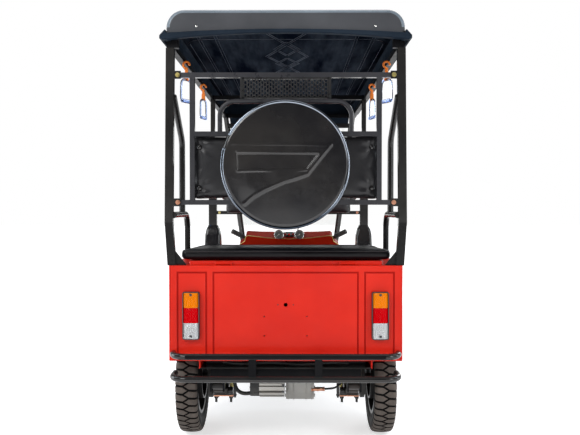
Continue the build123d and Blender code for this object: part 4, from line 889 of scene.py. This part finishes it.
# pressed mesh with upright slots in staggered columns, in a flat frame
POST_Y = -1215
Z0, Z1, HALF, RIM, COLUMNS = 1440.5, 1524, 175, 8, 30
pitch = (2 * HALF - 2 * RIM) / COLUMNS
bm = bmesh.new()
add_bar(bm, -HALF, HALF, 4, Z0, Z0 + 6)
add_bar(bm, -HALF, HALF, 4, Z1 - 6, Z1)
for x in (-HALF, HALF - RIM):
    add_bar(bm, x, x + RIM, 4, Z0, Z1)
for x in (-HALF - RIM, HALF):
    add_bar(bm, x, x + RIM, 8, Z0 - 0.5, Z1)
for i in range(1, COLUMNS):
    x = -HALF + RIM + i * pitch
    wire = [(x + 1.1 * math.sin(j * math.pi / 2 + (i % 2) * math.pi), Z0 + 6 + (Z1 - Z0 - 12) * j / 16)
            for j in range(17)]
    for (xa, za), (xb, zb) in zip(wire, wire[1:]):
        add_bar(bm, min(xa, xb) - 1.5, max(xa, xb) + 1.5, 1.4, za, zb)
for i in range(COLUMNS):
    x = -HALF + RIM + i * pitch
    for j in range(5):
        z = Z0 + 4 + (j + (0.5 if i % 2 else 0.0)) * 16.8
        if Z0 < z < Z1 - 6:
            add_bar(bm, x, x + pitch, 1.4, z, z + 4.2, POST_Y - 0.2)
piece("back_mesh", bm, GRILLE, smooth=False, stands_for="mesh_grille")

# ---------------------------------------------------------------- hand straps
STRAP_RING, STRAP_FOOT = 1629, 1465.5
HANDLE_TOP = STRAP_RING - 66
HANDLE = [(-20, HANDLE_TOP), (20, HANDLE_TOP), (34, HANDLE_TOP - 12), (36, STRAP_FOOT + 12),
          (30, STRAP_FOOT), (-30, STRAP_FOOT), (-36, STRAP_FOOT + 12), (-34, HANDLE_TOP - 12)]


def strap(name, x, y, turn, stands_for=None):
    """Orange hook and web with a clear plastic handle: rounded frame with a thick grip along its foot."""
    bm = bmesh.new()
    arc = [math.radians(200 - 17.5 * k) + 1.2 for k in range(17)]
    add_tube(bm, [mm(x + 13.5 * math.cos(a), y, STRAP_RING + 14 * math.sin(a)) for a in arc], 0.0050, 10)
    for low, high, w, t in ((34, 13, 6.6, 4.5), (62, 34, 9.4, 3), (70, 62, 10.4, 4.2)):
        add_box(bm, mm(x - w, y - t, STRAP_RING - low), mm(x + w, y + t, STRAP_RING - high))
    hook = piece(name + "_hook", bm, ORANGE, smooth=False)
    modify(hook, "BEVEL", width=0.0015, segments=2, limit_method="ANGLE", angle_limit=math.radians(40))
    bm = bmesh.new()
    loop = [Vector(mm(0, u + (v - u) * k / 4, z + (w - z) * k / 4)) for (u, z), (v, w) in pairs(HANDLE)
            for k in range(4)]
    for _ in range(2):
        loop = [(before + at * 2 + after) / 4 for before, (at, after) in zip(loop[-1:] + loop, pairs(loop))]
    add_tube(bm, loop, 0.0052, 12, closed=True)
    add_rod(bm, mm(0, -28, STRAP_FOOT + 4), mm(0, 28, STRAP_FOOT + 4), 0.0088, 16)
    add_box(bm, mm(-6, -13, HANDLE_TOP - 4), mm(6, 13, HANDLE_TOP + 3))
    bmesh.ops.rotate(bm, verts=bm.verts[:], cent=(0, 0, 0), matrix=Matrix.Rotation(turn, 3, "Z"))
    bmesh.ops.translate(bm, verts=bm.verts[:], vec=mm(x, y, 0))
    sharpen(piece(name + "_handle", bm, CLEAR, stands_for=stands_for), 50)


for i, ahead in enumerate((250, 800)):
    for side, label in ((-1, "left"), (1, "right")):
        strap(f"strap_{i + 1}_{label}", side * 440, POST_Y + ahead, side * (0.55 - 0.25 * i),
              "hand_straps" if (i, side) == (0, -1) else None)

# ---------------------------------------------------------------- bolts and rivets
REAR = (0, -1, 0)
# name, finish, direction, radius and height in mm, places in mm; bolts above 3 mm, the rest are domes
FIXINGS = [
    ("frame_bolts_top", BRASS, REAR, 6.5, 6.0, ((-434, -1227.5, 1534), (434, -1227.5, 1534))),
    ("frame_bolts_low", COPPER, REAR, 6.5, 6.0, ((-434, -1227.5, 1023), (434, -1227.5, 1023))),
    ("mid_bolt_left", BRASS, REAR, 5.5, 5.0, ((-412, 75, 969),)),
    ("mid_bolt_right", COPPER, REAR, 5.5, 5.0, ((412, 75, 969),)),
    ("roof_rivets", CHROME, REAR, 5.0, 2.4, ((-355, -1250, 1722), (357, -1250, 1722))),
    ("catch_screws", CAST, REAR, 2.6, 1.2, ((-31, -1240, 612), (31, -1240, 612))),
    ("hinge_screws", RED, REAR, 3.2, 1.6, [(x + d, -1200, 780.5) for x in (-253, 253) for d in (-20, 0, 20)])]
for side, label in ((1, "right"), (-1, "left")):
    FIXINGS += [
        (f"arch_screws_{label}", CAST, (side, 0, 0), 4.0, 2.0,
         [(side * 470, AXLE_Y + 322 * math.cos(a), AXLE_Z + 322 * math.sin(a))
          for a in map(math.radians, (40, 65, 90, 115))]),
        (f"roof_side_rivets_{label}", CHROME, (side, 0, 0), 4.0, 2.0,
         [(side * 476, y, 1722) for y in range(-1100, 900, 240)])]
for name, material, way, r, proud, places in FIXINGS:
    bm = bmesh.new()
    domed = proud < 3
    for place in places:
        (add_dome if domed else add_bolt)(bm, mm(*place), way, r / 1000, proud / 1000)
    piece(name, bm, material, "seat_lid" if name == "hinge_screws" else "chassis", smooth=domed)


# ---------------------------------------------------------------- motor, differential and springs
def add_cable(bm, r, sides, *points, steps=8):
    add_tube(bm, smooth_path([mm(*p) for p in points], steps), r, sides)


MOTOR_Y, MOTOR_Z = -980, 234
bm = bmesh.new()
for x in (8, 32, 88, 112):
    add_tube(bm, hoop(x, AXLE_Y, DIFF_Z, 88.8, 48), 0.0022, 6, closed=True)
for flange, near, far in zip(*(hoop(x, AXLE_Y, DIFF_Z, 76, 10, 0.2) for x in (122, -2, -6))):
    add_bolt(bm, flange, (1, 0, 0), 0.0045, 0.005)
    add_rod(bm, near, far, 0.004, 6)
piece("differential_ribs", bm, GEARBOX, smooth=False)
bm = bmesh.new()
for place in hoop(-157, MOTOR_Y, MOTOR_Z, 48, 6, 0.3):
    add_bolt(bm, place, (-1, 0, 0), 0.004, 0.004)
piece("motor_bolts", bm, CHROME, smooth=False)
bm = bmesh.new()
add_cable(bm, 0.0085, 12, (-128, -1020, 206), (-165, -1020, 193), (-200, -1015, 196), (-222, -1005, 218),
          (-230, -990, 262))
add_rod(bm, mm(-140, -1022, 202), mm(-118, -1022, 206), 0.0125, 16)
piece("motor_cable", bm, RUBBER)
bm = bmesh.new()
add_cable(bm, 0.0045, 10, (88, -975, 204), (120, -990, 203), (176, -990, 205), (214, -985, 209), (243, -972, 226))
piece("brake_cable", bm, RUBBER)
bm = bmesh.new()
add_rod(bm, mm(110, -989, 203.2), mm(168, -990, 204.8), 0.0088, 16)
for x in (112, 139, 166):
    add_rod(bm, mm(x - 2, -989.5, 203.5), mm(x + 2, -989.5, 203.6), 0.0104, 16)
piece("brake_cable_sleeve", bm, COPPER)

# bump rollers, stops and keeper rods behind the springs, nuts and keeper plates under their clamps
stops, rods, nuts, plates = (bmesh.new() for _ in range(4))
for side in (-1, 1):
    add_rod(stops, mm(side * 236, -966, 190), mm(side * 318, -966, 190), 0.0165, 24)
    add_box(stops, mm(side * 228 - 6, -975, 172), mm(side * 228 + 6, -953, 262))
    add_rod(stops, mm(side * 228, -964, 172), mm(side * 228, -964, 158), 0.009, 16, 0.003)
    add_rod(rods, mm(side * 272, -984, 180), mm(side * 272, -984, 262), 0.0038, 10)
    add_rod(rods, mm(side * 272, -984, 196), mm(side * 272, -984, 203), 0.007, 6)
    for x in (side * SPRING_X - BOLT_X, side * SPRING_X + BOLT_X):
        for y in (AXLE_Y - BOLT_Y, AXLE_Y + BOLT_Y):
            add_rod(nuts, mm(x, y, 160), mm(x, y, 151), 0.0095, 6)
            add_rod(nuts, mm(x, y, 162), mm(x, y, 160), 0.0115, 16)
    add_box(plates, mm(side * SPRING_X - 43, AXLE_Y - 48, 162), mm(side * SPRING_X + 43, AXLE_Y + 48, 168.6))
piece("spring_stops", stops, BLACK, smooth=False)
piece("keeper_rods", rods, BRASS, smooth=False)
piece("clamp_nuts", nuts, TRIM, smooth=False)
piece("clamp_plates", plates, COPPER, smooth=False)

# ---------------------------------------------------------------- arches, floor and tail
bm = bmesh.new()
for side in (-1, 1):
    add_tube(bm, hoop(side * 468.5, AXLE_Y, AXLE_Z, 291, 90, math.radians(31))[:30], 0.0045, 10)
piece("arch_beads", bm, RED)

# raised lozenges of the floor sheet in both footwells, left out beside the rear wheels
bm = bmesh.new()
for x0, y0, across, along in ((-416, -710, 33, 14), (-390, 534, 31, 10)):
    for i in range(across):
        for j in range(along):
            x, y = x0 + 26 * i, y0 + 26 * j
            if abs(x) > 338 and y < -640:
                continue
            u, v = (10, 3) if (i + j) % 2 else (3, 10)
            foot = [bm.verts.new(mm(x + a, y + b, 361.9)) for a, b in ((u, 0), (0, v), (-u, 0), (0, -v))]
            top = bm.verts.new(mm(x, y, 363.6))
            for p, q in pairs(foot):
                bm.faces.new((p, q, top))
piece("floor_studs", bm, FLOOR, smooth=False)
bm = bmesh.new()
add_cable(bm, 0.006, 10, (-255, -1200, 372), (-180, -1205, 366), (-60, -1203, 371), (60, -1205, 364),
          (180, -1203, 371), (255, -1200, 368), steps=10)
piece("tail_loom", bm, RUBBER)


# ---------------------------------------------------------------- wheels
def rim_seams(bm, x, y):
    for r in (147.5, 160.8):
        add_tube(bm, hoop(x, y, AXLE_Z, r, 72), 0.0014, 6, closed=True)


for side, label in ((1, "right"), (-1, "left")):
    def outward(x, r=0.0, a=0.0):
        """Place on the outer side of this wheel: mm from its middle plane, radius and angle."""
        return mm(side * (TRACK + x), AXLE_Y + r * math.cos(a), AXLE_Z + r * math.sin(a))

    body = f"rear_wheel_{label}"
    bm = bmesh.new()
    for a in around(5, 0.3):
        add_bolt(bm, outward(11, 58, a), (side, 0, 0), 0.0085, 0.012)
    piece(f"lug_nuts_{body}", bm, CHROME, body, smooth=False)
    bm = bmesh.new()
    add_rod(bm, outward(36), outward(44), 0.026, 32, 0.021)
    add_rod(bm, outward(11), outward(14), 0.074, 40)
    piece(f"hub_cap_{body}", bm, TRIM, body, smooth=False)
    bm = bmesh.new()
    add_rod(bm, outward(24, 144, 1.1), outward(44, 132, 1.1), 0.0042, 10)
    rim_seams(bm, side * (TRACK + 40), AXLE_Y)
    piece(f"rim_edge_{body}", bm, WHEEL, body)
bm, nuts = bmesh.new(), bmesh.new()
for side in (-1, 1):
    add_rod(bm, mm(side * 28, FRONT_Y, AXLE_Z), mm(side * 40, FRONT_Y, AXLE_Z), 0.030, 32, 0.024)
    rim_seams(bm, side * 40, FRONT_Y)
    add_bolt(nuts, mm(side * 120, FRONT_Y, AXLE_Z), (side, 0, 0), 0.011, 0.011)
piece("front_rim_edges", bm, WHEEL, "front_wheel")
piece("front_axle_nuts", nuts, CHROME, "steering", smooth=False)

# ---------------------------------------------------------------- front lamps
NOSE = (0, 1, 0)
HEADLAMP = mm(0, 1142, 632)
bm = bmesh.new()
lathe(bm, ((0.072, -0.060), (0.072, -0.004), (0.0705, -0.0008), (0.067, 0), (0.0645, -0.002), (0.0635, -0.006),
           (0.0635, -0.060)), HEADLAMP, NOSE, 64, closed=True)
sharpen(piece("headlamp_bezel", bm, CHROME, stands_for="front_lamps"), 40)
bm = bmesh.new()
lathe(bm, [(0.0635 * t, -0.048 + 0.038 * t * t) for t in (0.02, 0.15, 0.3, 0.45, 0.6, 0.75, 0.9, 1.0)], HEADLAMP, NOSE)
add_dome(bm, mm(0, 1104, 632), NOSE, 0.012, 0.012)
piece("headlamp_reflector", bm, SILVER)
bm = bmesh.new()
outer = [(0.0632 * t, -0.0055 + 0.0045 * (1 - t * t)) for t in (0.02, 0.2, 0.4, 0.6, 0.8, 0.92, 1.0)]
lathe(bm, outer + [(r, along - 0.003) for r, along in reversed(outer)], HEADLAMP, NOSE, closed=True)
for x in range(-50, 51, 10):
    span = math.sqrt(60 ** 2 - x ** 2)
    add_rod(bm, mm(x, 1137.0, 632 - span), mm(x, 1137.0, 632 + span), 0.0012, 6)
piece("headlamp_lens", bm, LAMP_CLEAR)
for side, label in ((-1, "left"), (1, "right")):
    at = mm(side * 205, 1141, 632)
    bm = bmesh.new()
    lathe(bm, ((0.030, -0.050), (0.030, -0.003), (0.0285, 0), (0.0262, -0.0015), (0.0255, -0.05)), at, NOSE, 40,
          closed=True)
    sharpen(piece(f"front_winker_rim_{label}", bm, TRIM), 40)
    bm = bmesh.new()
    lathe(bm, [(0.0255 * t, -0.010 + 0.0095 * math.sqrt(1 - t * t)) for t in (0.02, 0.3, 0.5, 0.7, 0.85, 0.95, 1.0)]
          + [(0.0255, -0.016), (0.0005, -0.016)], at, NOSE, 32)
    piece(f"front_winker_lens_{label}", bm, AMBER)
    bm = bmesh.new()
    lathe(bm, [(0.025 * t, -0.034 + 0.012 * t * t) for t in (0.02, 0.4, 0.7, 1.0)], at, NOSE, 32)
    piece(f"front_winker_bowl_{label}", bm, SILVER)

# ---------------------------------------------------------------- handlebar top
RAKE = math.radians(27)
NECK = Matrix.Translation(Vector(mm(0, 1110 - 320 * math.tan(RAKE), 560))) @ Matrix.Rotation(RAKE, 4, "X")


def neck_piece(name, bm, material, smooth=True):
    """Piece drawn in the frame of the raked steering column."""
    bmesh.ops.transform(bm, matrix=NECK, verts=bm.verts[:])
    piece(name, bm, material, "steering", smooth)


dial_way = Vector((0, -38, 35)).normalized()
turn = dial_way.to_track_quat("Z", "Y").to_matrix()
bezels, faces, marks = (bmesh.new() for _ in range(3))
for x in (-72, 72):
    c = Vector(mm(x, -44, 300))
    lathe(bezels, ((0.034, -0.004), (0.034, 0.002), (0.0325, 0.0042), (0.0295, 0.0036), (0.0285, 0.0),
                   (0.0285, -0.002)), c, dial_way, closed=True)
    lathe(faces, ((0.0006, 0.0006), (0.0285, 0.0006)), c, dial_way, 40)
    for k in range(11):
        a = math.radians(-130 + 26 * k)
        add_rod(marks, *(c + turn @ Vector((r * math.sin(a), r * math.cos(a), 0.0009)) for r in (0.0215, 0.0255)),
                0.0006, 6)
    add_rod(marks, c + turn @ Vector((0, 0, 0.0014)), c + turn @ Vector((-0.013, -0.010, 0.0014)), 0.0008, 6)
    add_rod(marks, c, c + dial_way * 0.003, 0.0035, 12)
neck_piece("dial_bezels", bezels, CHROME)
neck_piece("dial_faces", faces, DIAL)
neck_piece("dial_marks", marks, MARKS, smooth=False)
bm = bmesh.new()
for x, r in ((-24, 5), (0, 7), (24, 5)):
    add_dome(bm, mm(x, -30, 294), (0, -0.6, 0.8), r / 1000, 0.003)
neck_piece("cover_buttons", bm, LAMP_RED)
# rolled edge of the handlebar cover
HALF_EDGE = [(350, -60, 223), (346, -61, 231), (312, -61, 257), (303, -61, 295), (288, -61, 302), (155, -61, 283)]
bm = bmesh.new()
add_tube(bm, [mm(-x, y, z) for x, y, z in HALF_EDGE] + [mm(0, -61, 274)] + [mm(*p) for p in reversed(HALF_EDGE)],
         0.0026, 8)
neck_piece("cover_edge", bm, BRASS)
# grips, levers and their brackets
rings, levers = bmesh.new(), bmesh.new()
for side in (-1, 1):
    a, b = Vector(mm(side * 324, -23.4, 272)), Vector(mm(side * 398, -36, 322))
    turn = (b - a).to_track_quat("Z", "Y").to_matrix()
    for k in range(14):
        p = a + (b - a) * (0.03 + 0.068 * k)
        add_tube(rings, [p + turn @ Vector((0.0166 * math.cos(t), 0.0166 * math.sin(t), 0)) for t in around(24)],
                 0.0012, 6, closed=True)
    add_dome(rings, b, b - a, 0.0185, 0.006)
    add_cable(levers, 0.0042, 8, (side * 312, -8, 262), (side * 330, 8, 250), (side * 370, 12, 271),
              (side * 396, 0, 294), steps=6)
    add_rod(levers, mm(side * 308, -24, 262), mm(side * 314, -6, 260), 0.008, 12)
neck_piece("grip_rings", rings, RUBBER)
neck_piece("hand_levers", levers, TRIM)

# ---------------------------------------------------------------- windscreen and mirrors
POST_FOOT, POST_HEAD = Vector((345, 1078, 716)), Vector((455, 900, 1642.5))
LEAN = (POST_HEAD.y - POST_FOOT.y) / (POST_HEAD.z - POST_FOOT.z)


def on_post(z, inset=0.0):
    """Point of the right screen post at height z, in mm, drawn inwards."""
    p = POST_FOOT + (POST_HEAD - POST_FOOT) * ((z - POST_FOOT.z) / (POST_HEAD.z - POST_FOOT.z))
    return Vector((p.x - inset, p.y, p.z))


glasses, shells = bmesh.new(), bmesh.new()
for side in (-1, 1):
    c = mm(side * 452, on_post(1030).y - 62, 1090)
    lathe(glasses, ((0.0006, -0.0006), (0.030, -0.0004), (0.0425, 0.0002)), c, (0, -1, 0), 40)
    lathe(shells, ((0.0425, -0.002), (0.0425, 0.0006), (0.0445, 0.0012), (0.0462, -0.001), (0.0462, -0.008),
                   (0.042, -0.0145), (0.030, -0.0195), (0.0006, -0.021)), c, (0, -1, 0), 40)
piece("mirror_glass", glasses, CHROME)
piece("mirror_shells", shells, RUBBER)

bm = bmesh.new()
low, high = on_post(764, 15.5) / 1000, on_post(1577, 15.5) / 1000
flip = Vector((-1, 1, 1))
for p, q in pairs([low * flip, low, high, high * flip]):
    add_rod(bm, p, q, 0.0062, 10)
piece("screen_seal", bm, RUBBER)

# black header between the top of the screen and the roof
bm = bmesh.new()
foot, head = on_post(1592, 26), on_post(1652, 26)
header = [bm.verts.new(mm(s * p.x, p.y + dy, p.z))
          for s, p in ((-1, foot), (1, foot), (1, head), (-1, head)) for dy in (-3, 3)]
for loop in ((0, 2, 4, 6), (1, 7, 5, 3), (0, 1, 3, 2), (2, 3, 5, 4), (4, 5, 7, 6), (6, 7, 1, 0)):
    bm.faces.new([header[i] for i in loop])
face_outward(bm)
# the header takes the lips' blue-black, whose blue tone is a painted reflection
piece("screen_header", bm, LIP_PAINTED_SHEEN, smooth=False)

# wiper: boss, arm, blade and its rubber; places are x, z and mm out of the glass
bm = bmesh.new()
normal = Vector((0, 1, -LEAN)).normalized() / 1000
for p, q, r, sides in (((40, 752, 8), (40, 752, 24), 11, 16), ((40, 752, 19), (150, 1120, 12), 3.5, 8),
                       ((86, 905, 7.5), (196, 1285, 7.5), 2.8, 8), ((88, 905, 4.8), (198, 1285, 4.8), 1.7, 8)):
    add_rod(bm, *(Vector(mm(x, POST_FOOT.y + (z - POST_FOOT.z) * LEAN, z)) + normal * out for x, z, out in (p, q)),
            r / 1000, sides)
piece("wiper", bm, TRIM, smooth=False)


# ---------------------------------------------------------------- stage
def link_all(tree, *links):
    """Links given as (from node, output, to node, input)."""
    for source, output, target, socket in links:
        tree.links.new(source.outputs[output], target.inputs[socket])


bpy.ops.mesh.primitive_plane_add(size=60, location=(0, 0, -0.001))
floor = bpy.context.object
floor.name = "studio_floor"
mat, tree, shader = new_material("studio_floor", Roughness=0.95, Specular_IOR_Level=0.0, Emission_Color=(1, 1, 1, 1))
tree.links.new(ramp(tree, noise(tree, 2.0, 4.0), (0.3, 0.78), (0.7, 0.81)), shader.inputs["Base Color"])
# dimmer glow under the object, where its shadow shows, full white further out; no glow for bounced light
path = add(tree, "ShaderNodeLightPath").outputs
seen = math_node(tree, "MAXIMUM", math_node(tree, "MAXIMUM", path["Is Camera Ray"], path["Is Glossy Ray"]),
                 path["Is Transmission Ray"])
reach = add(tree, "ShaderNodeVectorMath", operation="LENGTH")
tree.links.new(add(tree, "ShaderNodeNewGeometry").outputs["Position"], reach.inputs[0])
glow = math_node(tree, "MULTIPLY", seen, spread(tree, reach.outputs["Value"], 1.7, 3.4, 0.6, 1.0))
tree.links.new(glow, shader.inputs["Emission Strength"])
floor.data.materials.append(mat)

world = bpy.data.worlds.new("studio")
bpy.context.scene.world = world
world.use_nodes = True
wt = world.node_tree
wt.nodes.clear()
path = add(wt, "ShaderNodeLightPath")
split = add(wt, "ShaderNodeSeparateXYZ")
wt.links.new(add(wt, "ShaderNodeTexCoord").outputs["Generated"], split.inputs[0])
# what glossy pieces mirror: bright beside and ahead of the object, dim behind it and overhead
level = ramp(wt, math_node(wt, "ABSOLUTE", split.outputs["Z"], 0.0),
             (0.0, 1.0), (0.12, 0.75), (0.30, 0.35), (0.6, 0.25), (0.85, 0.6))
facing = ramp(wt, math_node(wt, "MULTIPLY_ADD", split.outputs["Y"], 0.5),
              (0.0, 0.10), (0.22, 0.16), (0.45, 0.45), (0.7, 0.75))
soft = add(wt, "ShaderNodeBackground", Color=(0.95, 0.97, 1.0, 1), Strength=0.5)
shine = add(wt, "ShaderNodeBackground", Strength=1.0)
wt.links.new(mix(wt, 1.0, level, facing, "MULTIPLY"), shine.inputs["Color"])
white = add(wt, "ShaderNodeBackground", Color=(1, 1, 1, 1), Strength=1.0)
lit, pick = add(wt, "ShaderNodeMixShader"), add(wt, "ShaderNodeMixShader")
wt.links.new(math_node(wt, "MAXIMUM", path.outputs["Is Camera Ray"], path.outputs["Is Transmission Ray"]),
             pick.inputs[0])
link_all(wt, (path, "Is Glossy Ray", lit, 0), (soft, 0, lit, 1), (shine, 0, lit, 2), (lit, 0, pick, 1),
         (white, 0, pick, 2), (pick, 0, add(wt, "ShaderNodeOutputWorld"), "Surface"))

WHITE, COOL = (1, 1, 1), (0.82, 0.91, 1.0)
# name, place, target, width and height of the panel, watts, colour
for name, place, target, size, size_y, power, tint in (
        ("key", (-2.4, -4.4, 3.4), (0, -0.6, 0.9), 2.0, 1.6, 100, WHITE),
        ("fill", (3.0, -3.6, 2.0), (0, -0.6, 0.8), 1.0, 2.4, 48, WHITE),
        ("low", (0.2, -4.8, 0.35), (0, -1.2, 0.35), 3.0, 0.3, 5, WHITE),
        ("front", (3.2, 3.9, 2.8), (0, 0.8, 0.8), 2.4, 2.0, 90, WHITE),
        ("side", (-4.6, 0.4, 1.6), (0, 0, 0.9), 1.2, 2.4, 45, WHITE),
        ("top", (0, 0, 4.6), (0, 0, 0), 3.0, 3.0, 60, WHITE),
        ("strip_right", (2.7, -1.0, 1.75), (0, -1.2, 1.3), 0.25, 3.2, 24, COOL),
        ("strip_left", (-2.7, -1.0, 1.75), (0, -1.2, 1.3), 0.25, 3.2, 24, COOL)):
    lamp = bpy.data.lights.new(name, "AREA")
    lamp.shape = "RECTANGLE"
    lamp.size, lamp.size_y, lamp.energy, lamp.color = size, size_y, power, tint
    ob = bpy.data.objects.new(name, lamp)
    bpy.context.scene.collection.objects.link(ob)
    ob.location = place
    ob.rotation_euler = (Vector(target) - Vector(place)).to_track_quat("-Z", "Y").to_euler()

# eye at 1 m, close behind the tail and nearly level
camera = bpy.data.cameras.new("camera")
camera.lens = 41.26
camera.sensor_width = 36.0
camera.clip_end = 100
eye = bpy.data.objects.new("camera", camera)
bpy.context.scene.collection.objects.link(eye)
eye.location = (0.0325, -3.899, 1.008)
eye.rotation_euler = (math.radians(90 - 0.987), 0, math.radians(0.324))
scene = bpy.context.scene
scene.camera = eye
scene.view_settings.view_transform = "Standard"
